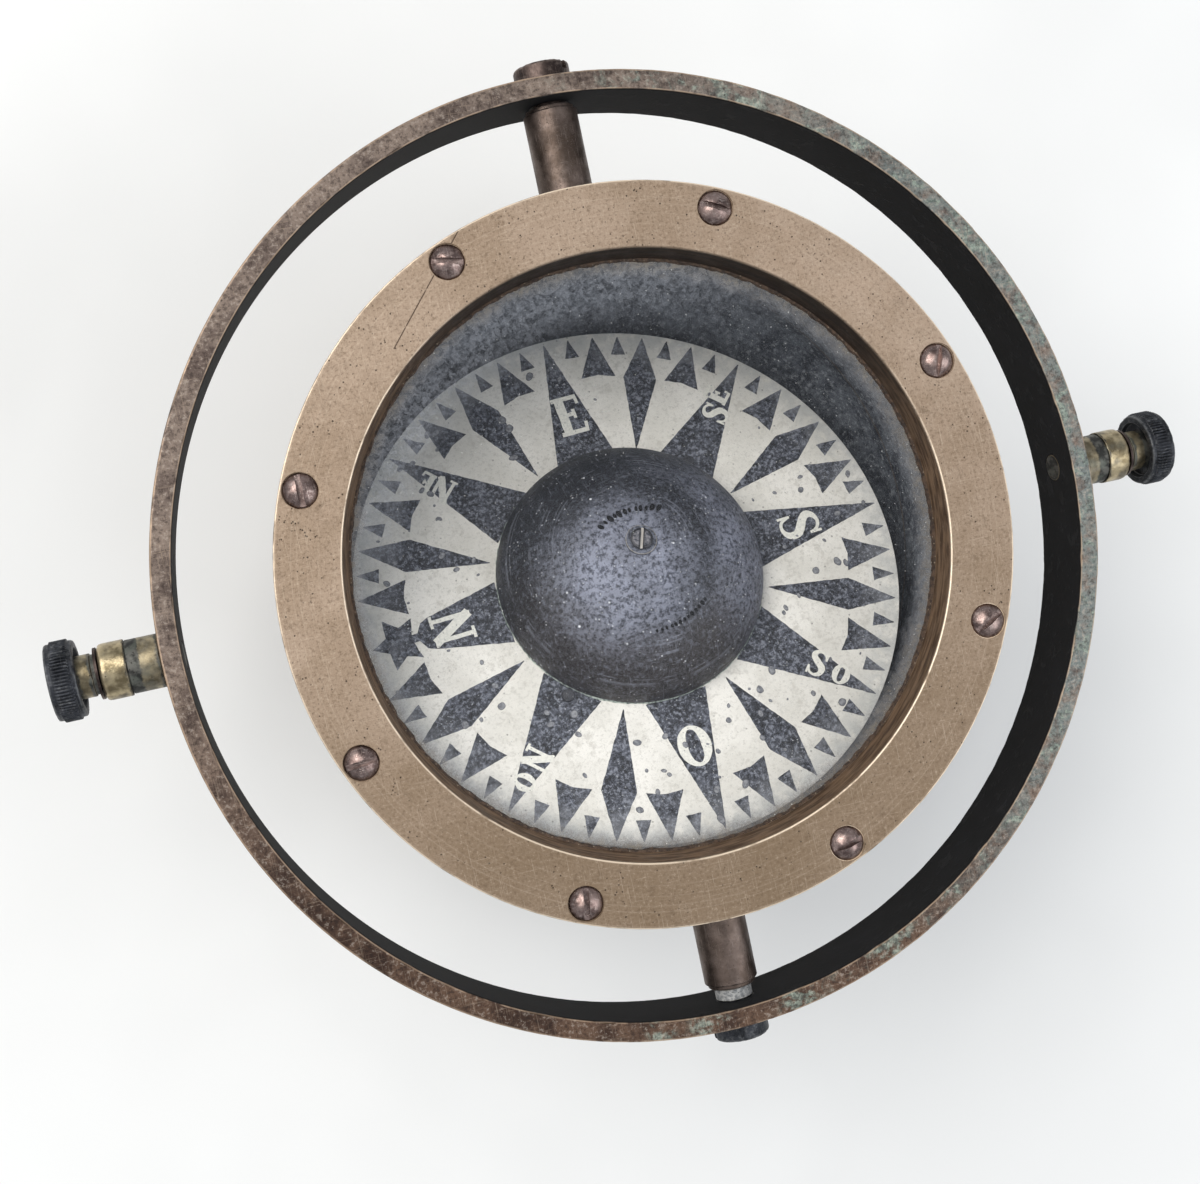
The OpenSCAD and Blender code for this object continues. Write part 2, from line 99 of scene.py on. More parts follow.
def middle(node):
    """The middle of a CAD node's box."""
    low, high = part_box(node)
    return (low + high) / 2


def card_frame():
    """The card's frame: origin at its pivot, Z its own axis, X towards its north point."""
    up = Vector(JOINTS["card_spin"]["axis"]).normalized()
    west = (middle("magnet_bar_west") - middle("magnet_bar_east")).normalized()
    north = west.cross(up)
    turn = Matrix((north, up.cross(north), up)).transposed().to_4x4()
    return Matrix.Translation(needle_point) @ turn


def about_z(degrees):
    """Rotation about the Z axis."""
    return Matrix.Rotation(math.radians(degrees), 4, "Z")


needle_point = Vector(JOINTS["card_tilt"]["pos_m"])
heel = math.atan2(needle_point.x, -needle_point.z)
RING = Matrix.Identity(4)
BOWL = Matrix.Rotation(-heel, 4, "Y")
CARD = card_frame()
# Bodies drawn in frames of their own; all others are drawn in the ring's
PLACES = {"bowl": BOWL, "card": CARD}
ALONG_X = {side: Matrix.Rotation(side * TAU / 4, 4, "Y") for side in (-1, 1)}
ALONG_Y = {side: Matrix.Rotation(-side * TAU / 4, 4, "X") for side in (-1, 1)}

BEZEL_LIP_R, BEZEL_R, BEZEL_LOW, BEZEL_TOP = extent("bezel_ring", BOWL)
RING_RI, RING_RO, RING_LOW, RING_TOP = extent("gimbal_ring", RING)
CARD_HOLE_R, CARD_R, CARD_LOW, CARD_TOP = extent("compass_card", CARD)
_, GLASS_R, GLASS_LOW, GLASS_TOP = extent("cover_glass", BOWL)
BEZEL_TAPER = 1.4
OPENING_R = BEZEL_LIP_R + BEZEL_TAPER
FLOAT_R = CARD_HOLE_R - 0.1
FLOAT_TOP = extent("apex_washer", CARD)[2]
FLOAT_H = FLOAT_TOP - CARD_TOP
# The bowl's straight wall ends here, on a rounded bottom of this inner radius, depth and wall
WALL_FOOT = -38.0
BOWL_INNER_R, BOWL_DEPTH, BOWL_WALL = 80.0, 40.0, 3.0


# ---- solids: (points in millimetres, faces, wear of each point) ----

def polar(radius, bearing, height):
    """Point at a radius and a bearing in degrees."""
    a = math.radians(bearing)
    return (radius * math.cos(a), radius * math.sin(a), height)


def unit(vectors):
    """The vector, or each row of vectors, at length 1."""
    return vectors / np.linalg.norm(vectors, axis=-1, keepdims=True)


def turned(*corners):
    """Profile for a lathe through (radius, height[, rounding]) corners. Wear is 1 at the middle
    of a rounding and 0 from its ends on."""
    steps = 4
    profile = []
    for i, corner in enumerate(corners):
        here = np.array(corner[:2], float)
        if len(corner) == 2:
            profile.append((*here, 0.0))
            continue
        back = unit(np.array(corners[i - 1][:2]) - here)
        on = unit(np.array(corners[(i + 1) % len(corners)][:2]) - here)
        half_angle = math.acos(np.clip(back @ on, -1, 1)) / 2
        reach = corner[2] / math.tan(half_angle)
        guard = reach + 0.3 * corner[2] + 0.05
        start, end = here + back * reach, here + on * reach
        profile.append((*(here + back * guard), 0.0))
        for s in np.linspace(0, 1, steps + 1):
            point = (1 - s) ** 2 * start + 2 * s * (1 - s) * here + s * s * end
            profile.append((*point, math.sin(math.pi * s)))
        profile.append((*(here + on * guard), 0.0))
    return profile


def ellipse(radius, height, base, start, end, steps):
    """Profile points on an ellipse about (0, base), between two angles in degrees."""
    angles = np.radians(np.linspace(start, end, steps + 1))
    return [(radius * math.cos(a), base + height * math.sin(a), 0.0) for a in angles]


def lathe(profile, turns, shape=None):
    """Solid of a closed profile turned about Z. A profile that starts and ends on the axis
    is closed there. shape(radius, height, angle) may return changed radii and heights."""
    profile = np.array(profile, float)
    rows = profile[profile[:, 0] > ON_AXIS]
    ends = profile[profile[:, 0] <= ON_AXIS]
    angle = np.arange(turns) * TAU / turns + np.zeros((len(rows), 1))
    radius, height = (rows[:, i:i + 1] + np.zeros(turns) for i in (0, 1))
    if shape:
        radius, height = shape(radius, height, angle)
    points = np.stack([radius * np.cos(angle), radius * np.sin(angle), height], axis=2)
    points = points.reshape(-1, 3)
    wear = np.repeat(rows[:, 2], turns)
    here = np.arange(turns)
    following = (here + 1) % turns
    faces = []
    for i in range(len(rows) - (len(ends) > 0)):
        low, high = i * turns, (i + 1) % len(rows) * turns
        faces += np.stack([low + here, low + following, high + following, high + here], 1).tolist()
    if len(ends):
        first, last, top = len(points), len(points) + 1, (len(rows) - 1) * turns
        faces += np.stack([here * 0 + first, following, here], 1).tolist()
        faces += np.stack([here * 0 + last, top + here, top + following], 1).tolist()
        points = np.vstack([points, [[0, 0, ends[0][1]], [0, 0, ends[-1][1]]]])
        wear = np.append(wear, [ends[0][2], ends[-1][2]])
    return points, faces, wear


def rod(radius, low, high):
    """Plain cylinder about Z."""
    return lathe(turned((0, low), (radius, low), (radius, high), (0, high)), 64)


def prism(outline, low, high):
    """Flat solid over a closed outline in the XY plane."""
    count = len(outline)
    points = np.vstack([np.c_[outline, np.full(count, level)] for level in (high, low)])
    following = [(i + 1) % count for i in range(count)]
    faces = [list(range(count)), list(range(2 * count - 1, count - 1, -1))]
    faces += [[i, count + i, count + j, j] for i, j in enumerate(following)]
    return points, faces, np.zeros(2 * count)


def ribbon(line, widths, low, high, closed=False):
    """Flat solid that follows a line in the XY plane with a width at each of its points."""
    if closed:
        along = np.roll(line, -1, 0) - np.roll(line, 1, 0)
    else:
        along = np.gradient(line, axis=0)
    half = unit(np.c_[-along[:, 1], along[:, 0]]) * widths[:, None] / 2
    left, right = line + half, line - half
    if not closed:
        return prism(np.vstack([left, right[::-1]]), low, high)
    count = len(line)
    flat = [np.c_[side, np.full(count, z)] for z in (high, low) for side in (left, right)]
    faces = []
    for i in range(count):
        j = (i + 1) % count
        for a, b in ((0, 1), (1, 3), (3, 2), (2, 0)):
            faces.append([a * count + i, a * count + j, b * count + j, b * count + i])
    return np.vstack(flat), faces, np.zeros(4 * count)


def moved(solid, matrix):
    """The solid after a 4x4 matrix in millimetres."""
    matrix = np.array(matrix)
    points, faces, wear = solid
    return points @ matrix[:3, :3].T + matrix[:3, 3], faces, wear


def joined(solids):
    """Several solids as one."""
    faces = []
    start = 0
    for points, part_faces, _ in solids:
        faces += [[start + i for i in face] for face in part_faces]
        start += len(points)
    return np.vstack([solid[0] for solid in solids]), faces, np.concatenate([solid[2] for solid in solids])


def ripple(points, size, seed=0):
    """Smooth noise of about -1 to 1 at each point, with features of about size millimetres.
    Points may lack a height."""
    shift = Vector((17.3, 5.1, 9.7)) * seed
    return np.array([noise.noise(Vector(point).to_3d() / size + shift) for point in points])


def nibbled(solid, depth, size, seed):
    """The solid with small dents along its worn edges, pushed in towards the profile's middle."""
    points, faces, wear = solid
    radius = np.hypot(points[:, 0], points[:, 1])
    inward = np.c_[radius.mean() - radius, points[:, 2].mean() - points[:, 2]]
    inward /= np.linalg.norm(inward, axis=1)[:, None] + ON_AXIS
    dent = depth * wear * np.clip(2.2 * ripple(points, size, seed) - 0.2, 0, 1)
    dent += 0.25 * depth * wear * ripple(points, 0.3 * size, seed + 1)
    scale = 1 + dent * inward[:, 0] / np.maximum(radius, 1)
    return np.c_[points[:, :2] * scale[:, None], points[:, 2] + dent * inward[:, 1]], faces, wear


def roughened(solid, depth, size, seed):
    """The solid with its points shifted a little every way, as corroded metal or thick paint."""
    points, faces, wear = solid
    shift = np.stack([ripple(points, size, seed + axis) for axis in range(3)], axis=1)
    return points + depth * shift, faces, wear


def as_mesh(name, solid, scale=MM, sharp=40):
    """Mesh of a solid, smooth apart from edges sharper than sharp degrees."""
    points, faces, wear = solid
    mesh = bpy.data.meshes.new(name)
    mesh.from_pydata((points * scale).tolist(), [], faces)
    shell = bmesh.new()
    shell.from_mesh(mesh)
    bmesh.ops.recalc_face_normals(shell, faces=shell.faces)
    shell.to_mesh(mesh)
    shell.free()
    mesh.polygons.foreach_set("use_smooth", [True] * len(mesh.polygons))
    mesh.set_sharp_from_angle(angle=math.radians(sharp))
    mesh.attributes.new("wear", "FLOAT", "POINT").data.foreach_set("value", wear.astype(np.float32))
    return mesh


def linked(name, data):
    """A new object of the scene."""
    obj = bpy.data.objects.new(name, data)
    bpy.context.scene.collection.objects.link(obj)
    return obj


def carved(solid, *cutters):
    """The solid with the cutters taken out of it."""
    parts = [as_mesh("carve", part, scale=1) for part in (solid, joined(cutters))]
    blank, cutter = (linked("carve", part) for part in parts)
    cut = blank.modifiers.new("cut", "BOOLEAN")
    cut.operation = "DIFFERENCE"
    cut.solver = "EXACT"
    cut.object = cutter
    mesh = bpy.data.meshes.new_from_object(blank.evaluated_get(bpy.context.evaluated_depsgraph_get()))
    points = np.zeros(3 * len(mesh.vertices))
    mesh.vertices.foreach_get("co", points)
    wear = np.zeros(len(mesh.vertices))
    mesh.attributes["wear"].data.foreach_get("value", wear)
    faces = [list(face.vertices) for face in mesh.polygons]
    for used in (*parts, mesh):
        bpy.data.meshes.remove(used)
    return points.reshape(-1, 3), faces, wear


def build(name, solid, body, look, stands_for=(), sharp=40):
    """One visible piece: a solid drawn in millimetres of its body's frame, riding on that body."""
    mesh = as_mesh(name, solid, sharp=sharp)
    mesh.materials.append(look)
    obj = linked(name, mesh)
    obj.matrix_world = PLACES.get(body, RING)
    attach(obj, body)
    if stands_for:
        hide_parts(*stands_for)


def slot_cutter(length, width, low, high, angle, wander, seed):
    """Cutter for a screwdriver slot at an angle to X, with sides that wander as a worn one's do.
    Its wear of 1 leaves the slot's floor scraped bright."""
    x = np.linspace(-length / 2, length / 2, 15)
    sides = [width / 2 + wander * ripple(np.c_[x, x * 0], 1.1, seed + i) for i in (0, 1)]
    outline = np.vstack([np.c_[x, sides[0]], np.c_[x, -sides[1]][::-1]])
    points, faces, wear = prism(outline, low, high)
    return moved((points, faces, wear + 1), about_z(angle))


# ---- procedural materials ----

def tone(red, green, blue):
    """Linear colour from 0 to 255 display values."""
    display = [value / 255 for value in (red, green, blue)]
    return (*(v / 12.92 if v <= 0.04 else ((v + 0.055) / 1.055) ** 2.4 for v in display), 1.0)


class Look:
    """One procedural material, with its colour so far. Its coordinates are the piece's own, in
    millimetres, and plain colours are given as 0 to 255 display values."""

    def __init__(self, name, turn=(0, 0, 0)):
        self.material = bpy.data.materials.new(name)
        self.material.use_nodes = True
        self.tree = self.material.node_tree
        self.tree.nodes.clear()
        place = self.node("ShaderNodeTexCoord", {}).outputs["Object"]
        mapping = {"Vector": place, "Scale": [1 / MM] * 3, "Rotation": turn}
        self.point = self.node("ShaderNodeMapping", mapping).outputs[0]
        self.x, self.y, self.z = self.node("ShaderNodeSeparateXYZ", {0: self.point}).outputs
        self.colour = None

    def node(self, kind, inputs, **settings):
        """A new node; inputs gives its sockets values or links them to other nodes' outputs."""
        node = self.tree.nodes.new(kind)
        for key, value in settings.items():
            setattr(node, key, value)
        for key, value in inputs.items():
            if isinstance(value, bpy.types.NodeSocket):
                self.tree.links.new(value, node.inputs[key])
            else:
                node.inputs[key].default_value = value
        return node

    def math(self, operation, a, b=0.0, clamp=False):
        return self.node("ShaderNodeMath", {0: a, 1: b}, operation=operation, use_clamp=clamp).outputs[0]

    def vector(self, operation, *inputs):
        return self.node("ShaderNodeVectorMath", dict(enumerate(inputs)), operation=operation)

    def plus(self, a, b, clamp=False):
        return self.math("ADD", a, b, clamp)

    def minus(self, a, b):
        return self.math("SUBTRACT", a, b)

    def times(self, *values):
        """Product of all values."""
        return reduce(lambda a, b: self.math("MULTIPLY", a, b), values)

    def most(self, *values):
        """Greatest of all values."""
        return reduce(lambda a, b: self.math("MAXIMUM", a, b), values)

    def level(self, value, start, end, low=0.0, high=1.0):
        """Smooth step from low to high as value goes from start to end."""
        inputs = dict(enumerate((value, start, end, low, high)))
        return self.node("ShaderNodeMapRange", inputs, interpolation_type="SMOOTHSTEP").outputs[0]

    def blend(self, share, a, b):
        """Value between numbers a and b."""
        return self.node("ShaderNodeMix", {0: share, 2: a, 3: b}, data_type="FLOAT").outputs[0]

    def mix(self, share, a, b):
        """Colour between a and b."""
        a, b = (tone(*colour) if isinstance(colour, tuple) else colour for colour in (a, b))
        return self.node("ShaderNodeMix", {0: share, 6: a, 7: b}, data_type="RGBA").outputs[2]

    def mottle(self, a, b, start, end, *texture, **more):
        """Colour a with patches of colour b."""
        return self.mix(self.patches(start, end, *texture, **more), a, b)

    def coat(self, colour, *shares):
        """Lays a colour over the one so far, as thickly as the product of the shares."""
        self.colour = self.mix(self.times(*shares), self.colour, colour)

    def spread(self, size, stretch, seed):
        """The point scaled so that features come out about size millimetres across."""
        inputs = {"Vector": self.point, "Scale": [1 / (size * s) for s in stretch],
                  "Location": [seed * 3.7, seed * 1.9, seed * 2.3]}
        return self.node("ShaderNodeMapping", inputs).outputs[0]

    def noise(self, size, detail=3, rough=0.6, stretch=(1, 1, 1), seed=0, twist=0.0):
        inputs = {"Vector": self.spread(size, stretch, seed), "Scale": 1.0, "Detail": detail,
                  "Roughness": rough, "Distortion": twist}
        return self.node("ShaderNodeTexNoise", inputs).outputs[0]

    def patches(self, start, end, *texture, **more):
        """Noise as clear patches: a smooth step of it from start to end."""
        return self.level(self.noise(*texture, **more), start, end)

    def specks(self, size, share, seed=0):
        """Small round spots, one to a cell of about size millimetres. Share is their radius in
        cells."""
        inputs = {"Vector": self.spread(size, (1, 1, 1), seed), "Scale": 1.0}
        return self.level(self.node("ShaderNodeTexVoronoi", inputs).outputs[0], share, 0.5 * share)

    def scratches(self, length, width, seed, share=0.66):
        """Short fine lines that run one way and bend a little."""
        return self.patches(share, share + 0.05, width, 1, 0.5, (length / width, 1, 1), seed, twist=0.3)

    def hairs(self, along, across, width, seed):
        """Scratches of one length along X and another across it."""
        return self.most(self.scratches(along, width, seed), self.scratches(width, across, seed + 1))

    def radius(self):
        """Distance from the Z axis."""
        return self.math("SQRT", self.plus(self.times(self.x, self.x), self.times(self.y, self.y)))

    def beyond(self, start, end):
        """Smooth step from 0 at one distance from the Z axis to 1 at another."""
        return self.level(self.radius(), start, end)

    def rings(self, size, seed=0):
        """Turning marks: noise that depends on the radius only."""
        inputs = {"W": self.plus(self.radius(), seed * 7.7), "Scale": 1 / size, "Detail": 2.0}
        return self.node("ShaderNodeTexNoise", inputs, noise_dimensions="1D").outputs[0]

    def wear(self):
        """1 on rounded edges and 0 on flat faces, as the meshes carry it."""
        return self.node("ShaderNodeAttribute", {}, attribute_name="wear").outputs["Fac"]

    def away(self, place):
        """Distance from a point."""
        return self.vector("DISTANCE", self.point, place).outputs["Value"]

    def beside(self, start, end):
        """Distance from the line between two points."""
        start, end = Vector(start), Vector(end)
        span = end - start
        offset = self.vector("SUBTRACT", self.point, start).outputs[0]
        along = self.vector("DOT_PRODUCT", offset, span.normalized()).outputs["Value"]
        share = self.math("DIVIDE", along, span.length, clamp=True)
        shares = self.node("ShaderNodeCombineXYZ", {axis: share for axis in range(3)}).outputs[0]
        return self.away(self.vector("MULTIPLY_ADD", span, shares, start).outputs[0])

    def facing(self, bearing, start, end):
        """Smooth step of how far a point lies towards a bearing in degrees: 1 on it, -1 opposite."""
        a = math.radians(bearing)
        along = self.plus(self.times(self.x, math.cos(a)), self.times(self.y, math.sin(a)))
        return self.level(self.math("DIVIDE", along, self.most(self.radius(), 1.0)), start, end)

    def finish(self, rough, height=None, depth=0.05, **constants):
        """Principled shader; height is the bump's, and depth its size in millimetres."""
        inputs = {"Base Color": self.colour, "Roughness": rough}
        inputs |= {name.replace("_", " "): value for name, value in constants.items()}
        if height is not None:
            bump = self.node("ShaderNodeBump", {"Height": height, "Distance": depth * MM})
            inputs["Normal"] = bump.outputs[0]
        shader = self.node("ShaderNodeBsdfPrincipled", inputs)
        self.node("ShaderNodeOutputMaterial", {"Surface": shader.outputs[0]})
        return self.material


def aged_metal(name, dark, middling, bright, blotch=9, rough=(0.34, 0.55), pits=0.16, metallic=1.0,
               turn=(0, 0, 0), mottle=1.0):
    """Handled metal: cloudy patina, fine pits, hair scratches and brighter worn edges."""
    look = Look(name, turn)
    grain = look.noise(0.7, 3, 0.7, seed=2)
    look.colour = look.mottle(dark, middling, 0.36, 0.6, blotch, 4, 0.62, seed=1)
    look.coat(bright, look.patches(0.5, 0.72, 0.3 * blotch, 4, seed=3), 0.75 * mottle)
    look.coat(dark, look.level(grain, 0.5, 0.7), 0.4)
    hairs = look.hairs(7, 5, 0.16, seed=4)
    look.coat(bright, hairs, 0.35)
    pitted = look.specks(1.6, pits, seed=6)
    look.coat((28, 22, 18), pitted, 0.8)
    look.coat(bright, look.wear(), look.patches(0.32, 0.55, 2.5, seed=7), 0.8)
    height = look.minus(look.times(grain, 0.5), look.most(pitted, look.times(hairs, 0.4)))
    rough = look.blend(look.patches(0.35, 0.65, 3.1, seed=8), *rough)
    return look.finish(rough, height, 0.06, Metallic=metallic)


def bezel_look():
    """Satin tan brass with a sandy grain, dark pits, a long scratch and a brown inner wall, with painted
    shade on its lower side, its top-left and the back of its inner wall, and a painted highlight along its
    worn opening edge.
    """
    look = Look("bezel satin brass")
    brown, pale = (96, 78, 60), (206, 190, 170)
    look.colour = look.mottle((150, 130, 110), (168, 148, 129), 0.35, 0.65, 24, 4, seed=1)
    # Painted shade: darker towards bearing -85, the lower side
    look.coat((112, 93, 70), look.facing(-85, -0.4, 1.0), 0.66)
    # Painted shade towards bearing 118, evening out the side where the key light falls most
    look.coat((132, 114, 96), look.facing(118, 0.2, 1.0), 0.3)
    grain = look.noise(0.8, 4, 0.75, seed=2)
    look.coat(brown, look.level(grain, 0.5, 0.66), 0.5)
    look.coat(pale, look.level(grain, 0.45, 0.32), 0.24)
    look.coat(pale, look.level(look.rings(0.7), 0.5, 0.75), 0.1)
    look.coat(brown, look.patches(0.58, 0.7, 4, 4, 0.7, seed=3), 0.35)
    pitted = look.times(look.specks(1.3, 0.2, seed=4), look.patches(0.45, 0.6, 5, 2, seed=5))
    row = look.beside(polar(88, 162.4, BEZEL_TOP), polar(80.5, 165, BEZEL_TOP))
    pitted = look.most(pitted, look.times(look.level(row, 1.5, 0.6), look.specks(0.75, 0.34, seed=6)))
    look.coat((48, 36, 26), pitted, 0.85)
    scratch = look.beside(polar(89.6, 109.5, BEZEL_TOP), polar(78.6, 129.8, BEZEL_TOP))
    scratched = look.times(look.level(scratch, 0.2, 0.06), look.patches(0.3, 0.45, 3, 2, seed=7))
    look.coat(pale, look.hairs(9, 9, 0.14, seed=8), 0.25)
    look.coat((62, 46, 34), scratched, 0.85)
    # Painted shadow: the inner wall darkens towards the back, bearing 75
    back = look.facing(75, 0.3, 0.85)
    wall = look.mottle((88, 68, 52), (144, 117, 92), 0.35, 0.65, 0.9, 3, 0.6, (9, 9, 1), seed=10)
    wall = look.mix(look.times(back, 0.85), wall, (32, 27, 25))
    below = look.level(look.z, BEZEL_TOP - 0.25, BEZEL_TOP - 1.2)
    look.coat(wall, below, look.beyond(OPENING_R + 1.5, OPENING_R + 0.5))
    # Worn opening edge painted pale and less metallic as a highlight, kept off the inner edge at the back
    rim = look.blend(back, 1.0, look.beyond(OPENING_R + 2, OPENING_R + 3))
    edge = look.times(look.wear(), look.patches(0.25, 0.5, 6, seed=11), rim)
    look.coat((246, 226, 200), edge, 0.9)
    rough = look.blend(edge, look.blend(look.patches(0.3, 0.7, 4, seed=12), 0.5, 0.64), 0.28)
    height = look.minus(look.times(grain, 0.6), look.most(pitted, scratched))
    return look.finish(rough, height, 0.09, Metallic=look.blend(edge, 0.72, 0.3))


# Bearing and reach of each heavy patch of verdigris on the ring's top
VERDIGRIS = ((66.5, 9), (79, 5), (33, 10), (22, 8), (8, 7), (-37, 6), (-70, 11), (-83, 8), (-95, 7),
             (-101, 5))


def ring_look():
    """Brown patinated brass, painted near black inside as shade, grey-green on the right and redder in front.
    """
    look = Look("gimbal ring patina")
    cloud = look.noise(9, 4, 0.65, seed=1)
    grain = look.noise(1.2, 4, 0.76, seed=2)
    patina = look.level(cloud, 0.35, 0.62)
    look.colour = look.mix(patina, (88, 76, 70), (128, 114, 104))
    look.coat(look.mix(patina, (58, 40, 31), (94, 70, 54)), look.facing(-105, 0.1, 0.85), 0.85)
    patches = look.noise(4.5, 5, 0.68, seed=5, twist=0.4)
    bloom = look.times(look.facing(5, 0.2, 0.85), look.level(patches, 0.3, 0.56))
    look.coat((110, 121, 118), bloom, 0.8)
    green = look.times(look.level(patches, 0.53, 0.64), look.facing(5, -0.1, 0.5))
    for bearing, reach in VERDIGRIS:
        spot = look.away(polar((RING_RI + RING_RO) / 2, bearing, RING_TOP))
        near = look.level(spot, reach, 0.4 * reach)
        green = look.most(green, look.times(near, look.level(patches, 0.45, 0.58)))
    verdigris = look.mottle((84, 98, 90), (150, 162, 148), 0.35, 0.65, 1.2, seed=6)
    look.coat(verdigris, green, 0.75)
    look.coat((46, 38, 35), look.level(grain, 0.5, 0.63), 0.6)
    look.coat((172, 160, 148), look.level(grain, 0.46, 0.36), 0.45)
    look.coat((164, 146, 128), look.hairs(8, 8, 0.2, seed=3), 0.3)
    pitted = look.times(look.specks(2.1, 0.15, seed=7), look.patches(0.45, 0.6, 9, 2, seed=11))
    look.coat((34, 28, 25), pitted, 0.7)
    look.coat((198, 172, 146), look.wear(), look.patches(0.34, 0.54, 7, seed=8), 0.75)
    # Painted shade: the inner wall is coloured near black and given less shine
    inside = look.beyond(RING_RI + 0.35, RING_RI + 0.05)
    look.coat(look.mottle((2, 3, 6), (10, 11, 16), 0.4, 0.7, 9, 4, seed=9), inside)
    rough = look.blend(look.most(green, inside), look.blend(look.level(cloud, 0.3, 0.7), 0.45, 0.62), 0.75)
    dull = look.most(look.times(green, 0.9), look.times(bloom, 0.5), look.times(inside, 0.6))
    height = look.plus(look.times(grain, 0.5), look.times(green, look.noise(0.7, 3, seed=10)))
    return look.finish(rough, look.minus(height, pitted), 0.09, Metallic=look.blend(dull, 0.85, 0.0))


def banded_brass(name, side, start, end, bands):
    """Tarnished brass on a trunnion, with bright bands rubbed to some strength between two shares
    of its length."""
    look = Look(name, (0, -side * TAU / 4, 0))
    along = look.plus(look.z, look.times(look.minus(look.noise(3, 4, seed=1), 0.5), 2.4))
    look.colour = look.mottle((56, 56, 54), (102, 101, 96), 0.4, 0.6, 2.5, 4, seed=3)
    look.coat((104, 108, 100), look.patches(0.48, 0.62, 4, 4, seed=4), 0.6)
    bright = 0.0
    for low, high, strength in bands:
        low, high = (start + share * (end - start) for share in (low, high))
        band = look.times(look.level(along, low - 0.3, low + 0.3), look.level(along, high + 0.3, high - 0.3))
        bright = look.most(bright, look.times(band, strength))
    bright = look.times(bright, look.level(look.noise(4.5, 4, seed=2), 0.34, 0.56, 0.45, 0.95))
    look.coat(look.mottle((122, 109, 82), (190, 174, 140), 0.36, 0.64, 3.4, seed=5), bright)
    pitted = look.specks(1.7, 0.12, seed=6)
    look.coat((36, 30, 24), pitted, 0.6)
    look.coat((196, 178, 144), look.wear(), 0.35)
    grain = look.times(look.noise(0.8, seed=8), 0.6)
    height = look.minus(grain, look.most(pitted, look.scratches(6, 0.18, 7)))
    return look.finish(look.blend(bright, 0.58, 0.3), height, 0.09, Metallic=0.9)


def bowl_look():
    """The shell: brown lacquered brass outside, dark blue-grey paint with scale and dust inside."""
    look = Look("bowl shell")
    scale = look.noise(1.6, 4, 0.78, seed=7)
    look.colour = look.mottle((46, 50, 58), (96, 101, 108), 0.36, 0.62, 6, 4, seed=6)
    look.coat((158, 162, 166), look.level(scale, 0.52, 0.64), 0.7)
    look.coat((16, 18, 24), look.level(scale, 0.46, 0.35), 0.7)
    look.coat((196, 198, 196), look.specks(1.7, 0.16, seed=8), look.patches(0.4, 0.6, 5, 2, seed=10))
    paint = look.colour
    look.colour = look.mottle((88, 68, 48), (136, 110, 78), 0.36, 0.62, 16, 4, seed=1)
    look.coat((64, 52, 42), look.patches(0.52, 0.7, 5, 4, 0.6, (1, 1, 4), seed=2), 0.45)
    look.coat((112, 134, 116), look.patches(0.62, 0.72, 3, 4, seed=3), 0.4)
    hairs = look.hairs(10, 8, 0.2, seed=4)
    look.coat((186, 156, 112), hairs, 0.4)
    look.coat((200, 170, 126), look.wear(), 0.6)
    above = look.times(look.beyond(GLASS_R - 0.1, GLASS_R - 0.3), look.level(look.z, 3, 2))
    # An ellipsoid just outside the bowl's rounded inside
    margin = 1.4
    sag = look.math("POWER", look.math("DIVIDE", look.minus(WALL_FOOT, look.z), BOWL_DEPTH + margin), 2.0)
    bottom = look.plus(look.times(look.radius(), look.radius(), 1 / (BOWL_INNER_R + margin) ** 2), sag)
    rounded = look.times(look.level(look.z, WALL_FOOT + 2, WALL_FOOT), look.level(bottom, 1.0, 0.985))
    inside = look.times(above, look.most(look.level(look.z, WALL_FOOT, WALL_FOOT + 2), rounded))
    look.coat(paint, inside)
    height = look.minus(look.noise(0.9, seed=9), look.times(hairs, 0.4))
    return look.finish(look.blend(inside, 0.46, 0.7), height, 0.1, Metallic=look.blend(inside, 0.9, 0.0))


def dome_look():
    """Old black paint under a fine bluish haze, browner towards the south-west rim, with painted shade on the
    flank towards bearing -95.
    """
    look = Look("float dome paint")
    cloud = look.noise(8, 4, seed=1)
    grain = look.noise(1.15, 4, 0.78, seed=7)
    look.colour = look.mix(look.level(cloud, 0.38, 0.62), (15, 16, 21), (34, 36, 43))
    look.coat((56, 50, 48), look.facing(75, -0.2, 0.9), look.beyond(18, 27), 0.6)
    crown = look.level(look.away((7.0, 6.0, FLOAT_TOP)), 27, 6)
    flank = look.times(look.facing(190, 0.2, 0.95), look.beyond(16, 24))
    haze = look.times(look.most(crown, look.times(flank, 0.75)), look.level(cloud, 0.3, 0.62, 0.6, 1.0))
    look.coat(look.mix(look.level(grain, 0.38, 0.6), (84, 88, 102), (164, 168, 184)), haze, 0.85)
    look.coat((112, 117, 129), look.level(grain, 0.52, 0.63), 0.42)
    look.coat((8, 9, 12), look.level(grain, 0.47, 0.37), look.blend(haze, 0.9, 0.35))
    # Painted shade: darker on the flank towards bearing -95
    look.coat((12, 15, 22), look.facing(-95, 0.0, 0.9), look.beyond(13, 25), 0.6)
    arcs = look.times(look.level(look.rings(0.7, seed=3), 0.56, 0.66), look.patches(0.5, 0.62, 7, seed=4))
    rubs = look.most(look.scratches(5, 0.35, 5, 0.67), look.scratches(0.35, 5, 6, 0.68))
    look.coat((150, 154, 166), look.most(arcs, rubs), 0.26)
    dust = look.most(look.specks(4.2, 0.1, seed=9), look.times(look.specks(1.5, 0.17, seed=10), 0.6))
    look.coat((220, 222, 226), look.times(dust, look.patches(0.42, 0.6, 4, seed=11)))
    height = look.minus(look.times(grain, 0.9), look.times(rubs, 0.4))
    rough = look.blend(look.level(cloud, 0.3, 0.7), 0.5, 0.68)
    return look.finish(rough, height, 0.2, Specular_IOR_Level=0.4)


# How the apex screw's slot lies, in degrees from north
APEX_SLOT = 67


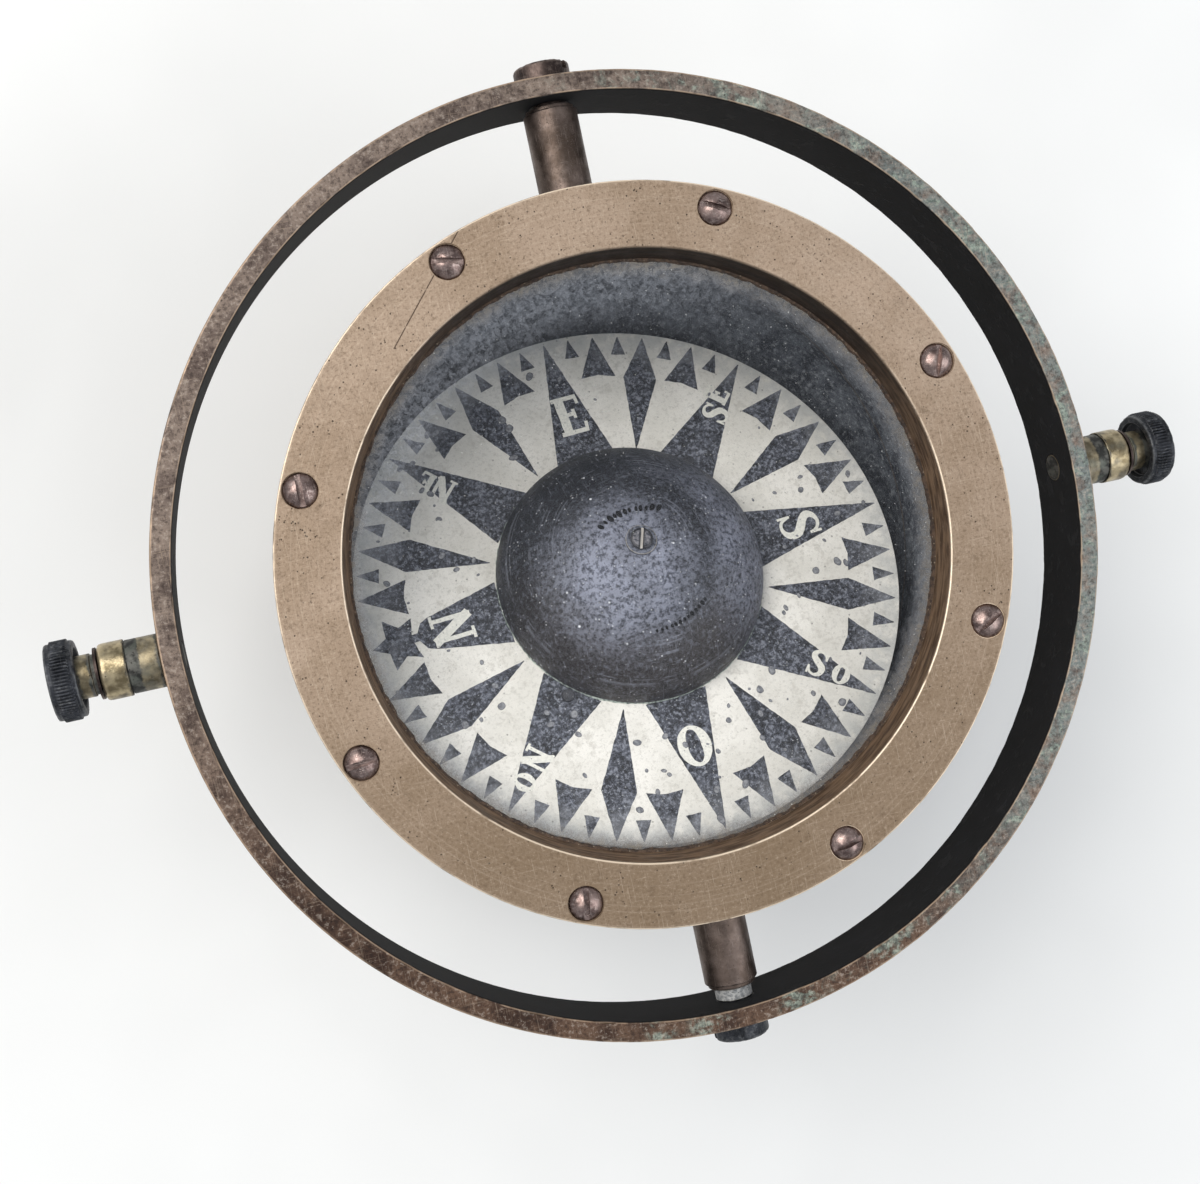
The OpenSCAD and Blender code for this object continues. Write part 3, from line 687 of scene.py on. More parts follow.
def apex_look(slot_floor):
    """Dark bronze head with grime round its rim and beside its scraped slot."""
    look = Look("apex bronze")
    grime = (14, 15, 19)
    grain = look.noise(0.7, 3, 0.7, seed=1)
    look.colour = look.mix(look.level(grain, 0.38, 0.62), (56, 58, 66), (128, 126, 130))
    look.coat(grime, look.beyond(2.0, 2.4), look.beyond(2.95, 2.7), 0.8)
    slot = look.beside(polar(4, APEX_SLOT, slot_floor), polar(-4, APEX_SLOT, slot_floor))
    look.coat(grime, look.level(slot, 1.0, 0.62), 0.85)
    look.coat((192, 186, 178), look.level(slot, 0.42, 0.3))
    return look.finish(0.45, grain, 0.06, Metallic=0.4)


def paper_look():
    """Off-white enamelled card, greyer near its rim, with faint stains and fibres."""
    look = Look("card paper")
    look.colour = look.mottle((216, 213, 204), (233, 230, 222), 0.35, 0.65, 18, 4, seed=1)
    look.coat((180, 176, 166), look.patches(0.52, 0.68, 3.2, 5, 0.7, seed=2), 0.5)
    look.coat((186, 183, 174), look.patches(0.5, 0.64, 1.2, 4, 0.78, seed=3), 0.5)
    rim = look.times(look.beyond(0.86 * CARD_R, 0.995 * CARD_R), look.patches(0.3, 0.6, 4, 4, seed=4))
    look.coat((172, 175, 174), rim, 0.6)
    look.coat((112, 110, 104), look.specks(3.2, 0.1, seed=5), 0.7)
    return look.finish(0.62, look.noise(0.7, seed=6))


def ink_look():
    """Mottled charcoal print, worn to grey in specks, in patches and along the rim."""
    look = Look("card ink")
    grain = look.noise(1.0, 4, 0.78, seed=1)
    look.colour = look.mottle((36, 38, 46), (72, 75, 85), 0.38, 0.62, 5, 4, seed=2)
    look.coat((132, 136, 146), look.level(grain, 0.52, 0.6), 0.8)
    look.coat((8, 9, 13), look.level(grain, 0.48, 0.4), 0.95)
    look.coat((192, 194, 196), look.specks(1.4, 0.15, seed=3), look.patches(0.4, 0.6, 4, 2, seed=5), 0.9)
    rim = look.times(look.beyond(0.78 * CARD_R, CARD_R), look.patches(0.36, 0.58, 5, 4, seed=4))
    look.coat(look.mix(grain, (96, 99, 106), (176, 178, 182)), rim, 0.55)
    return look.finish(0.66, grain, 0.06)


def spot_look():
    """Grey moisture spots with a darker rim."""
    look = Look("moisture spot")
    look.colour = look.mottle((98, 100, 106), (146, 147, 150), 0.35, 0.65, 0.9, seed=1)
    look.coat((58, 60, 68), look.level(look.wear(), 0.3, 0.8), 0.85)
    return look.finish(0.66, look.noise(0.5, seed=2), 0.03)


def plain_paint(name, base, other, size=1.5, rough=0.6, depth=0.03, speck=None, **constants):
    """Small pieces: two mottled tones, specks and a fine grain."""
    look = Look(name)
    look.colour = look.mottle(base, other, 0.38, 0.62, size, 4, 0.7, seed=1)
    if speck:
        look.coat(speck, look.specks(1.1, 0.2, seed=2), 0.8)
    look.coat((210, 200, 180), look.wear(), 0.35)
    roughness = look.blend(look.patches(0.35, 0.65, 0.6 * size, seed=3), 0.85 * rough, rough)
    return look.finish(roughness, look.noise(0.35 * size, seed=4), depth, **constants)


def glass_look():
    """Clear glass under dust: a thin film, a scratchy grey smear on one side and a ragged brown
    crust beside the seal."""
    look = Look("dusty glass")
    patches = look.noise(6, 5, 0.72, seed=1, twist=0.5)
    fibres = look.noise(1.6, 4, 0.75, seed=2, twist=0.8)
    ragged = look.plus(look.radius(), look.times(look.minus(patches, 0.5), 8.0))
    crust = look.times(look.level(ragged, 68.0, 73.2), look.level(fibres, 0.34, 0.6, 0.35, 1.0))
    smear = look.times(look.level(ragged, 55, 70), look.facing(112, 0.35, 0.95),
                       look.level(fibres, 0.42, 0.6, 0.12, 1.0))
    dust = look.most(look.specks(2.2, 0.08, seed=3), look.times(look.specks(0.9, 0.12, seed=4), 0.5))
    share = look.plus(0.02, look.times(look.level(patches, 0.5, 0.8), 0.04))
    for part, strength in ((crust, 0.62), (smear, 0.3), (dust, 0.4)):
        share = look.plus(share, look.times(part, strength), clamp=True)
    look.colour = look.mix(crust, (154, 158, 166), (132, 124, 112))
    look.coat((226, 226, 222), dust)
    return look.finish(0.32, Alpha=share, IOR=1.5)


def floor_look():
    look = Look("studio floor")
    look.colour = look.mottle((222, 222, 220), (228, 228, 226), 0.3, 0.7, 160)
    return look.finish(0.8, look.noise(2, seed=1), 0.02)


# ---- pieces: gimbal ring, pivots and trunnions ----

# Spot faces under the pivot heads, sunk a little into the ring
PIVOT_SEAT = RING_RO - 0.3
BUSH_BORE_R = 3.55
# How each pivot screw's slot lies, in degrees about its axis
PIVOT_SLOTS = {"back": -45, "front": 0}


def make_ring(look):
    """Turned hoop with softened, dented edges, drilled for the two pivots and the two trunnions."""
    edge, shank = 0.55, 5.02
    hoop = lathe(turned((RING_RI, RING_LOW, edge), (RING_RO, RING_LOW, edge),
                        (RING_RO, RING_TOP, edge), (RING_RI, RING_TOP, edge)), 900)
    hoop = nibbled(hoop, 0.35, 4.5, seed=3)
    start, reach = RING_RI - 4, RING_RO + 2
    spot_r = extent("pivot_screw_back", RING, 1)[1] + 0.3
    cutters = [moved(rod(BUSH_BORE_R, start, reach), ALONG_X[side]) for side in (-1, 1)]
    for side in (-1, 1):
        cutters.append(moved(rod(shank, start, PIVOT_SEAT + 0.1), ALONG_Y[side]))
        cutters.append(moved(rod(spot_r, PIVOT_SEAT, reach), ALONG_Y[side]))
    build("gimbal_hoop", carved(hoop, *cutters), "gimbal", look, ["gimbal_ring"])


def make_pivot_screw(side, name, look):
    """Slotted pivot screw: plain pin, threaded shank hidden in the ring, thick head."""
    node = f"pivot_screw_{name}"
    head_r, tip, top = outward(node, side, 1, RING)
    solid = lathe(turned((0, tip), (3.95, tip, 0.7), (3.95, RING_RI), (5, RING_RI, 0.2), (5, PIVOT_SEAT),
                         (head_r, PIVOT_SEAT, 0.35), (head_r, top, 0.8), (0, top)), 144)
    solid = nibbled(solid, 0.25, 2.0, seed=5 + side)
    slot = slot_cutter(2 * head_r + 2, 1.8, top - 2.2, top + 1, PIVOT_SLOTS[name], 0.12, seed=11 + side)
    solid = moved(carved(solid, slot), ALONG_Y[side])
    build(f"pivot_bolt_{name}", solid, "gimbal", look, [node])


def make_boss(side, name, look):
    """Turned post on the bowl that carries a pivot bushing and ends in a narrow lip."""
    start, lip_l, lip_in = 83.0, 1.1, 0.7
    node = f"pivot_boss_{name}"
    radius, _, end = outward(node, side, 1, BOWL)
    lip_r = radius - lip_in
    solid = lathe(turned((radius, start), (radius, end - lip_l, 0.3), (lip_r, end - lip_l + 0.1, 0.1),
                         (lip_r, end, 0.3), (4.1, end, 0.2), (4.1, start)), 144)
    solid = moved(nibbled(solid, 0.15, 2.2, seed=20 + side), ALONG_Y[side])
    build(f"pivot_post_{name}", solid, "bowl", look, [node])


def make_collar(look):
    """Corroded grey spacer on the front pivot."""
    radius, near, far = outward("spacer_collar_front", -1, 1, RING)
    solid = lathe(turned((4.0, near), (radius, near, 0.15), (radius, far, 0.15), (4.0, far)), 96)
    solid = moved(nibbled(solid, 0.25, 1.2, seed=25), ALONG_Y[-1])
    build("spacer_sleeve", solid, "gimbal", look, ["spacer_collar_front"])


def make_bush(side, name):
    """Bearing bush with a step half way and a fine groove at it."""
    node = f"trunnion_bush_{name}"
    radius, start, end = outward(node, side, 0, RING)
    look = banded_brass(f"bush brass {name}", side, start, end, ((0.05, 0.34, 0.6), (0.58, 1.1, 0.95)))
    step = start + 0.56 * (end - start)
    small = radius - 0.35
    groove = small - 0.25
    solid = lathe(turned((BUSH_BORE_R, start), (small, start, 0.25), (small, step - 0.35),
                         (groove, step - 0.2), (groove, step), (radius, step, 0.2), (radius, end, 1.3),
                         (BUSH_BORE_R, end)), 144)
    solid = moved(nibbled(solid, 0.2, 1.6, seed=30 + side), ALONG_X[side])
    build(f"bearing_bush_{name}", solid, "bushes", look, [node])


KNOB_DISH = 1.4


def make_trunnion(side, name):
    """Trunnion screw: its domed end lies in the ring's inner wall, and its neck carries the knob."""
    node = f"trunnion_screw_{name}"
    neck_r, start, end = outward(node, side, 0, RING)
    neck_end = outward(f"knurled_knob_{name}", side, 0, RING)[1] + KNOB_DISH
    neck = neck_end - 5.4
    look = banded_brass(f"neck brass {name}", side, neck, neck_end, ((0.3, 0.75, 0.8),))
    shaft, small = 3.5, neck_r - 0.35
    solid = lathe(turned((0, start), (shaft, start, 0.4), (shaft, neck), (small, neck, 0.2),
                         (small, neck + 0.9, 0.15), (neck_r, neck + 1.1, 0.15),
                         (neck_r, neck_end - 0.02), (shaft, neck_end - 0.02), (shaft, end), (0, end)), 96)
    solid = moved(nibbled(solid, 0.15, 1.5, seed=40 + side), ALONG_X[side])
    build(f"trunnion_stud_{name}", solid, f"{name}_thumb_screw", look, [node])


def make_knob(side, name, look):
    """Thumb knob: straight knurl between two turned lips, with a dish round the neck."""
    node = f"knurled_knob_{name}"
    radius, inner, outer = outward(node, side, 0, RING)
    teeth, tooth_depth, lip_h = 72, 0.5, 1.2
    lip_r = radius - 0.5
    floor = inner + KNOB_DISH

    def knurl(r, z, angle):
        band = (r > lip_r + 0.1).astype(float)
        uneven = 0.75 + 0.25 * np.sin(5 * angle + 1.3 * side)
        return r - band * tooth_depth * uneven * (1 - np.abs(np.sin(teeth / 2 * angle))), z

    solid = lathe(turned((0, outer - 0.35), (lip_r - 2.6, outer - 0.35), (lip_r - 2.0, outer, 0.2),
                         (lip_r, outer, 0.6), (lip_r, outer - lip_h),
                         (radius, outer - lip_h - 0.25), (radius, outer - lip_h - 1.2),
                         (radius, inner + lip_h + 1.2), (radius, inner + lip_h + 0.25),
                         (lip_r, inner + lip_h), (lip_r, inner, 0.6),
                         (lip_r - 1.8, inner, 0.25), (lip_r - 2.1, floor, 0.3), (0, floor)), teeth * 6, knurl)
    solid = moved(nibbled(solid, 0.15, 1.5, seed=50 + side), ALONG_X[side])
    build(f"thumb_knob_{name}", solid, f"{name}_thumb_screw", look, [node], sharp=60)


# ---- pieces: bowl ----

BOLT_CIRCLE_R = 85.0
# What each bezel screw lies off its even place, and how its slot lies, in degrees
BEZEL_BOLTS = ((-0.2, 73), (0.4, -27), (1, -12), (0.3, 90), (0.6, 6), (-0.6, 81), (-0.2, 10), (-0.3, 28))
BOLT_HEAD_R = 4.25
BOLT_SEAT = BEZEL_TOP - 0.5


def bolt_place(i):
    """Matrix, in millimetres, of a bezel screw's axis."""
    return Matrix.Translation(polar(BOLT_CIRCLE_R, 22.5 + 45 * i + BEZEL_BOLTS[i][0], 0))


def make_bezel(look):
    """Flat bezel with softened edges, a tapered inner wall and a shallow seat for each screw."""
    ring = lathe(turned((BEZEL_LIP_R, BEZEL_LOW, 0.3), (BEZEL_R, BEZEL_LOW, 0.3), (BEZEL_R, BEZEL_TOP, 0.45),
                        (OPENING_R, BEZEL_TOP, 0.5)), 720)
    ring = nibbled(ring, 0.1, 3.0, seed=60)
    cutters = []
    for i in range(len(BEZEL_BOLTS)):
        cutters.append(moved(rod(BOLT_HEAD_R + 0.18, BOLT_SEAT, BEZEL_TOP + 1), bolt_place(i)))
        cutters.append(moved(rod(2.0, BEZEL_LOW - 1, BOLT_SEAT + 0.1), bolt_place(i)))
    build("bezel_face", carved(ring, *cutters), "bowl", look, ["bezel_ring"])


def make_bezel_screws(look):
    """Eight round-headed screws with worn, burred slots."""
    dome = extent("bezel_screws", BOWL)[3] - BOLT_SEAT
    sphere_r = (BOLT_HEAD_R ** 2 + dome ** 2) / (2 * dome)
    rim_angle = math.asin(BOLT_HEAD_R / sphere_r)
    low = BEZEL_LOW - 2.7
    arc = [(sphere_r * math.sin(a), BOLT_SEAT + dome - sphere_r * (1 - math.cos(a)), 0.0)
           for a in np.linspace(rim_angle, 0, 18)]
    blank = lathe([(0, low, 0), (1.98, low, 0), (1.98, BOLT_SEAT, 0), (BOLT_HEAD_R, BOLT_SEAT, 0)] + arc, 72)
    solids = []
    for i, (_, slot_angle) in enumerate(BEZEL_BOLTS):
        groove = slot_cutter(2 * BOLT_HEAD_R + 1, 1.35, BOLT_SEAT + 0.6, BOLT_SEAT + dome + 1, 0, 0.25,
                             seed=80 + 3 * i)
        head = carved(roughened(blank, 0.06, 1.4, seed=70 + 5 * i), groove)
        solids.append(moved(head, bolt_place(i) @ about_z(slot_angle)))
    build("bezel_bolts", joined(solids), "bowl", look, ["bezel_screws"], sharp=38)


def make_shell(look):
    """Spun bowl with its flange; the rounded bottom is smooth, unlike the CAD's short bands."""
    outer, outer_depth = BOWL_INNER_R + BOWL_WALL, BOWL_DEPTH + BOWL_WALL
    low = extent("bowl_shell", BOWL)[2]
    floor = low + BOWL_WALL + 0.5
    arc_end = -math.degrees(math.asin((WALL_FOOT - low) / outer_depth))
    well_end = -math.degrees(math.acos(12.6 / BOWL_INNER_R))
    seat, seat_r, pocket_r = GLASS_LOW - 1.5, BOWL_INNER_R - 4, GLASS_R + 0.5
    flange_r, flange_low, band_r = BEZEL_R - 1, BEZEL_LOW - 3, outer + 2
    profile = turned((seat_r, seat - 2.5), (seat_r, seat, 0.2), (pocket_r, seat), (pocket_r, BEZEL_LOW),
                     (flange_r, BEZEL_LOW, 0.3), (flange_r, flange_low, 0.5), (band_r, flange_low),
                     (band_r, -10, 0.4), (outer, -12))
    profile += ellipse(outer, outer_depth, WALL_FOOT, 0, arc_end, 40)
    profile += [(1, low, 0), (1, floor, 0), (12, floor, 0)]
    profile += ellipse(BOWL_INNER_R, BOWL_DEPTH, WALL_FOOT, well_end, 0, 40)
    profile.append((BOWL_INNER_R, seat - 6.5, 0))
    plug_place = about_z(45) @ Matrix.Translation((0, 0, -25)) @ ALONG_X[1]
    solid = joined([lathe(profile, 360), moved(rod(9, outer - 2, outer + 3), plug_place)])
    build("spun_bowl", solid, "bowl", look, ["bowl_shell"])


def waver(radius, angle, z, *ripples):
    """Sum of ripples along a circle, at a grid of angles and heights; each has (amount, size, seed)."""
    points = np.stack([radius * np.cos(angle), radius * np.sin(angle), z], axis=2).reshape(-1, 3)
    return sum(amount * ripple(points, size, seed) for amount, size, seed in ripples).reshape(z.shape)


def make_seal(look):
    """Dark putty line round the glass, ragged where it has crept in."""
    inner = extent("upper_seal", BOWL)[0]

    def creep(r, z, angle):
        return r + (r < inner + 0.5) * waver(inner, angle, z, (0.35, 2.4, 90), (0.2, 0.7, 91)), z

    solid = lathe([(inner, GLASS_TOP, 0), (GLASS_R, GLASS_TOP, 0), (GLASS_R, BEZEL_LOW, 0),
                   (inner + 0.2, BEZEL_LOW, 0)], 900, creep)
    build("putty_seal", solid, "bowl", look, ["upper_seal"])


def make_glass(look):
    solid = lathe(turned((0, GLASS_LOW), (GLASS_R, GLASS_LOW, 0.3), (GLASS_R, GLASS_TOP, 0.3),
                         (0, GLASS_TOP)), 240)
    build("glass_disc", solid, "bowl", look, ["cover_glass"])


# ---- pieces: card and float ----

INK_TOP = CARD_TOP + 0.03
LETTER_TOP = CARD_TOP + 0.06
SPOT_TOP = CARD_TOP + 0.075
SINK = 0.02
DIVISIONS = 64
PRINT_R = 0.984 * CARD_R


def build_print(name, solids, look):
    """Printed or painted solids on the card, as one piece."""
    build(name, joined(solids), "card", look)


def ray(division):
    """Unit vectors along the card's ray at a division and across it."""
    a = -division * TAU / DIVISIONS
    return np.array([math.cos(a), math.sin(a)]), np.array([-math.sin(a), math.cos(a)])


def ray_shape(division, corners):
    """Outline mirrored about a division's ray; corners run (radius, half-width) from one end."""
    along, across = ray(division)
    left = [r * along + s * across for r, s in corners]
    return left + [r * along - s * across for r, s in reversed(corners) if s > 0]


def ragged(outline, seed):
    """The outline with its straight edges broken into short steps and roughened as print is."""
    step, amount = 0.7, 0.13
    result = []
    for start, end in zip(outline, outline[1:] + outline[:1]):
        count = max(1, int(np.linalg.norm(end - start) / step))
        result += [start + (end - start) * i / count for i in range(count)]
    shift = [ripple(result, size, seed + k) for k, size in enumerate((1.3, 1.3, 0.5, 0.5))]
    return result + amount * np.c_[shift[0] + 0.5 * shift[2], shift[1] + 0.5 * shift[3]]


# Corners of half the north star, as degrees from its outward point and share of its reach
STAR = ((0, 1), (34, 0.52), (68, 1.03), (102, 0.56), (130, 1), (180, 0.45))


def star_outline(division, centre, reach):
    """Five-pointed star on a ray, with one point outwards. Rounding brings its last corner back
    onto the ray."""
    corners = [polar(share * reach, angle, 0) for angle, share in STAR]
    return ray_shape(division, [(centre + x, round(y, 9)) for x, y, _ in corners])


def rose_outlines():
    """Outlines of the card's print: large points, diamonds, and two sizes of rim triangles."""
    root = FLOAT_R - 0.5
    yield ray_shape(0, [(root, 8.7), (0.749 * CARD_R, 4.5), (0.78 * CARD_R, 3.6), (0.803 * CARD_R, 0.8)])
    yield ray_shape(0, [(0.8 * CARD_R, 1.1), (0.835 * CARD_R, 1.1)])
    yield star_outline(0, 0.87 * CARD_R, 0.1 * CARD_R)
    # The star leaves no room for the rim triangles beside it
    for k in range(2, DIVISIONS - 1):
        if k % 8 == 0:
            yield ray_shape(k, [(root, 8.3), (PRINT_R, 0.15)])
        elif k % 8 == 4:
            yield ray_shape(k, [(0.512 * CARD_R, 0.1), (0.808 * CARD_R, 0.063 * CARD_R), (PRINT_R, 0.1)])
        elif k % 4 == 2:
            yield ray_shape(k, [(0.822 * CARD_R, 0), (0.811 * CARD_R, 0.066 * CARD_R), (PRINT_R, 0.1)])
        else:
            yield ray_shape(k, [(0.907 * CARD_R, 2.0), (PRINT_R, 0.1)])


def make_rose(look):
    build_print("card_rose", [prism(ragged(outline, 100 + 4 * i), CARD_TOP - SINK, INK_TOP)
                              for i, outline in enumerate(rose_outlines())], look)


def curve_through(*points):
    """Smooth open curve through points of any dimension."""
    per_span = 5
    points = np.array(points, float)
    padded = np.vstack([2 * points[0] - points[1], points, 2 * points[-1] - points[-2]])
    result = []
    for p0, p1, p2, p3 in zip(padded, padded[1:], padded[2:], padded[3:]):
        for s in np.arange(per_span) / per_span:
            result.append(0.5 * (2 * p1 + (p2 - p0) * s + (2 * p0 - 5 * p1 + 4 * p2 - p3) * s ** 2
                                 + (3 * p1 - p0 - 3 * p2 + p3) * s ** 3))
    return np.array(result + [points[-1]])


def bar(x0, y0, x1, y1, width):
    """Straight stroke of a letter."""
    return np.linspace((x0, y0, width), (x1, y1, width), 9)


def oval(turn):
    """Stroke of the letter O, thick at its sides."""
    return np.c_[0.36 + 0.28 * np.cos(turn), 0.5 + 0.45 * np.sin(turn), 0.08 + 0.13 * np.cos(turn) ** 2]


# Width of each letter and its strokes in a box one unit high, as (x, y, width) points
LETTERS = {
    "N": (0.8, [bar(0.14, 0, 0.14, 1, 0.1), bar(0.66, 0, 0.66, 1, 0.1), bar(0.12, 0.99, 0.68, 0.02, 0.21),
                bar(0, 0.03, 0.3, 0.03, 0.07), bar(0, 0.97, 0.2, 0.97, 0.07),
                bar(0.5, 0.97, 0.82, 0.97, 0.07)]),
    "E": (0.66, [bar(0.18, 0, 0.18, 1, 0.2), bar(0, 0.95, 0.6, 0.95, 0.1), bar(0.1, 0.52, 0.46, 0.52, 0.09),
                 bar(0, 0.05, 0.64, 0.05, 0.1), bar(0.58, 1, 0.6, 0.76, 0.07),
                 bar(0.45, 0.64, 0.45, 0.4, 0.07), bar(0.62, 0, 0.65, 0.26, 0.07)]),
    "S": (0.64, [curve_through((0.57, 0.74, 0.05), (0.5, 0.9, 0.07), (0.34, 0.97, 0.08), (0.17, 0.91, 0.12),
                               (0.1, 0.76, 0.17), (0.2, 0.62, 0.19), (0.42, 0.48, 0.2), (0.54, 0.33, 0.19),
                               (0.5, 0.13, 0.14), (0.33, 0.03, 0.08), (0.15, 0.08, 0.07), (0.06, 0.27, 0.05)),
                 bar(0.58, 1, 0.58, 0.7, 0.06), bar(0.05, 0, 0.05, 0.32, 0.06)]),
    "O": (0.72, [oval(np.linspace(0, TAU, 40, endpoint=False))]),
}
CARDINALS = (("N", 10.7), ("E", 11.6), ("S", 11), ("O", 11.2))
# Intercardinal pairs: the radius, as a share of the card's, and the offset across its ray of the
# inner and then the outer letter, and the outer one's height
PAIRS = (("NE", 0.756, 1.5, 0.822, 1.5, 5.6), ("SE", 0.75, -0.6, 0.825, 1.4, 6.4),
         ("SO", 0.75, 0.6, 0.842, 0.6, 5.6), ("NO", 0.774, 0.3, 0.866, 0.3, 5.6))


def letter_solids(letter, share, side, division, height, seed, bold, upright=False):
    """A painted letter near a ray. It reads outwards, or has its top to the rim when upright."""
    width, strokes = LETTERS[letter]
    along, across = ray(division)
    right, up = (-across, along) if upright else (along, across)
    centre = along * share * CARD_R + across * side
    for i, line in enumerate(strokes):
        flat = centre + np.outer(line[:, 0] - width / 2, right) * height
        flat += np.outer(line[:, 1] - 0.5, up) * height
        flat += 0.07 * np.c_[ripple(flat, 0.9, seed), ripple(flat, 0.9, seed + 1)]
        widths = bold * line[:, 2] * height * (1 + 0.12 * ripple(flat, 0.7, seed + 2))
        yield ribbon(flat, widths, INK_TOP - SINK, LETTER_TOP - 0.002 * i, closed=letter == "O")


def make_letters(look):
    """Cardinal letters with their tops to the rim, and intercardinal pairs that read outwards."""
    solids = []
    for i, (letter, height) in enumerate(CARDINALS):
        solids += letter_solids(letter, 0.675, 0, 16 * i, height, 300 + 9 * i, 1.1, upright=True)
    for i, (pair, inner, inner_side, outer, outer_side, height) in enumerate(PAIRS):
        solids += letter_solids(pair[0], inner, inner_side, 16 * i + 8, 7.2, 340 + 9 * i, 1.25)
        solids += letter_solids(pair[1], outer, outer_side, 16 * i + 8, height, 380 + 9 * i, 1.4)
    build_print("card_letters", solids, look)


def make_stains(look):
    """Ragged oval moisture spots on the card, fewest in the south-east. Wear rises to their rims."""
    rng = np.random.default_rng(41)
    low = INK_TOP - SINK
    disc = [(0, low, 0), (1, low, 1), (1, SPOT_TOP, 1), (0.7, SPOT_TOP, 0), (0, SPOT_TOP, 0)]
    solids = []
    for i in range(96):
        points, faces, wear = lathe(disc, 26)
        radius = CARD_R * rng.uniform(0.55, 0.95)
        bearing = rng.uniform(-100, 200) if i % 4 else rng.uniform(-180, 180)
        size = rng.uniform(0.35, 1.5) * rng.uniform(0.6, 1)
        stretch, turn = rng.uniform(0.55, 0.95), rng.uniform(0, TAU)
        points[:, :2] *= size * (1 + 0.18 * ripple(points[:, :2], 0.8, 420 + i))[:, None]
        place = Matrix.Translation(polar(radius, bearing, 0)) @ Matrix.Rotation(turn, 4, "Z")
        solids.append(moved((points, faces, wear), place @ Matrix.Diagonal((1, stretch, 1, 1))))
    build_print("card_stains", solids, look)


def make_card(look):
    """Thin card with a softened rim."""
    solid = lathe(turned((CARD_HOLE_R, CARD_LOW), (CARD_R, CARD_LOW, 0.15), (CARD_R, CARD_TOP, 0.15),
                         (CARD_HOLE_R, CARD_TOP)), 360)
    build("card_disc", solid, "card", look, ["compass_card"])


def make_dome(look):
    """Spun float dome with its flange under the card; old paint makes it slightly uneven."""
    inner, inner_h = FLOAT_R - 0.8, FLOAT_H - 0.8
    flange_r, flange_low = 41.5, extent("float_dome", CARD)[2]
    profile = ellipse(FLOAT_R, FLOAT_H, CARD_TOP, 0, 89, 60) + ellipse(inner, inner_h, CARD_TOP, 89, 0, 40)
    profile += [(inner, flange_low, 0), (flange_r, flange_low, 0), (flange_r, CARD_LOW, 0),
                (FLOAT_R, CARD_LOW, 0)]
    points, faces, wear = lathe(profile, 240)
    for amount, size, seed in ((0.08, 7, 500), (0.02, 1.1, 501)):
        points = points + amount * unit(points) * ripple(points, size, seed)[:, None]
    build("dome_shell", (points, faces, wear), "card", look, ["float_dome"])


def make_dome_edge(look):
    """Pale flaking line of cement where the dome meets the card."""
    def flake(r, z, angle):
        width = 0.5 + waver(FLOAT_R, angle, 0 * z, (0.9, 2.2, 510), (0.4, 0.7, 511))
        return np.where(r > FLOAT_R + 0.01, FLOAT_R + 0.02 + 0.28 * np.clip(width, 0.05, 1), r), z

    inner, outer, low, high = FLOAT_R - 0.3, FLOAT_R + 0.3, CARD_TOP - 0.2, CARD_TOP + 0.5
    solid = lathe([(inner, low, 0), (outer, low, 0), (outer, CARD_TOP + 0.18, 0), (FLOAT_R, high, 0),
                   (inner, high, 0)], 600, flake)
    build("dome_cement", solid, "card", look)


# Arcs of beads on the dome: radii and bearings that each runs through, number of beads, greatest radius
BEAD_ARCS = (((10.6, 9.5, 8.9, 8.9, 9.2, 10.7), (-39, -59, -76, -98, -116, -136), 12, 0.82),
             ((22.4, 21.9, 21.3), (82, 102, 122), 13, 0.6))


def make_beads(look):
    """Two broken arcs of tiny beads of black paint on the dome."""
    rng = np.random.default_rng(52)
    solids = []
    for radii, bearings, count, size in BEAD_ARCS:
        for share in np.linspace(0, 1, count):
            share = np.clip(share + rng.uniform(-0.012, 0.012), 0, 1) * (len(radii) - 1)
            radius, bearing = (np.interp(share, range(len(radii)), values) for values in (radii, bearings))
            bead_r = size * rng.uniform(0.6, 1)
            profile = np.array(ellipse(bead_r, bead_r * 0.45, 0, -90, 90, 8))
            profile[[0, -1], 0] = 0
            height = CARD_TOP + FLOAT_H * math.sqrt(1 - (radius / FLOAT_R) ** 2)
            place = Matrix.Translation(polar(radius, bearing, height)) @ about_z(bearing)
            solids.append(moved(lathe(profile, 14), place @ Matrix.Diagonal((1.5, 0.85, 1, 1))))
    build("paint_beads", joined(solids), "card", look)


def make_apex(washer_look):
    """Slotted screw and its dark washer at the top of the dome."""
    _, head_r, low, top = extent("apex_screw", CARD)
    _, washer_r, _, washer_top = extent("apex_washer", CARD)
    solid = lathe(turned((0, low), (1.5, low), (1.5, washer_top), (head_r, washer_top, 0.1),
                         (head_r, top - 0.25, 0.3), (head_r - 0.7, top, 0.3), (0, top)), 64)
    slot_floor = top - 0.4
    solid = carved(solid, slot_cutter(8, 0.66, slot_floor, top + 1, APEX_SLOT, 0.06, seed=520))
    build("apex_bolt", solid, "card", apex_look(slot_floor), ["apex_screw"])
    low = FLOAT_TOP - 0.4
    ring = lathe(turned((1.6, low), (washer_r, low), (washer_r, washer_top, 0.25), (1.6, washer_top)), 64)
    ring = roughened(ring, 0.06, 1.2, 530)
    build("apex_disc", ring, "card", washer_look, ["apex_washer"])


# ---- CAD nodes that keep their own meshes ----

def dress(look, edge, *nodes):
    """Gives CAD nodes a material and, where edge is above 0, edges softened by that much."""
    for name in nodes:
        obj = frame["nodes"][name]
        obj.data.materials.clear()
        obj.data.materials.append(look)
        if edge:
            bevel = obj.modifiers.new("soft edges", "BEVEL")
            bevel.width = edge * MM
            bevel.segments = 2
            bevel.angle_limit = math.radians(50)


# ---- stage ----

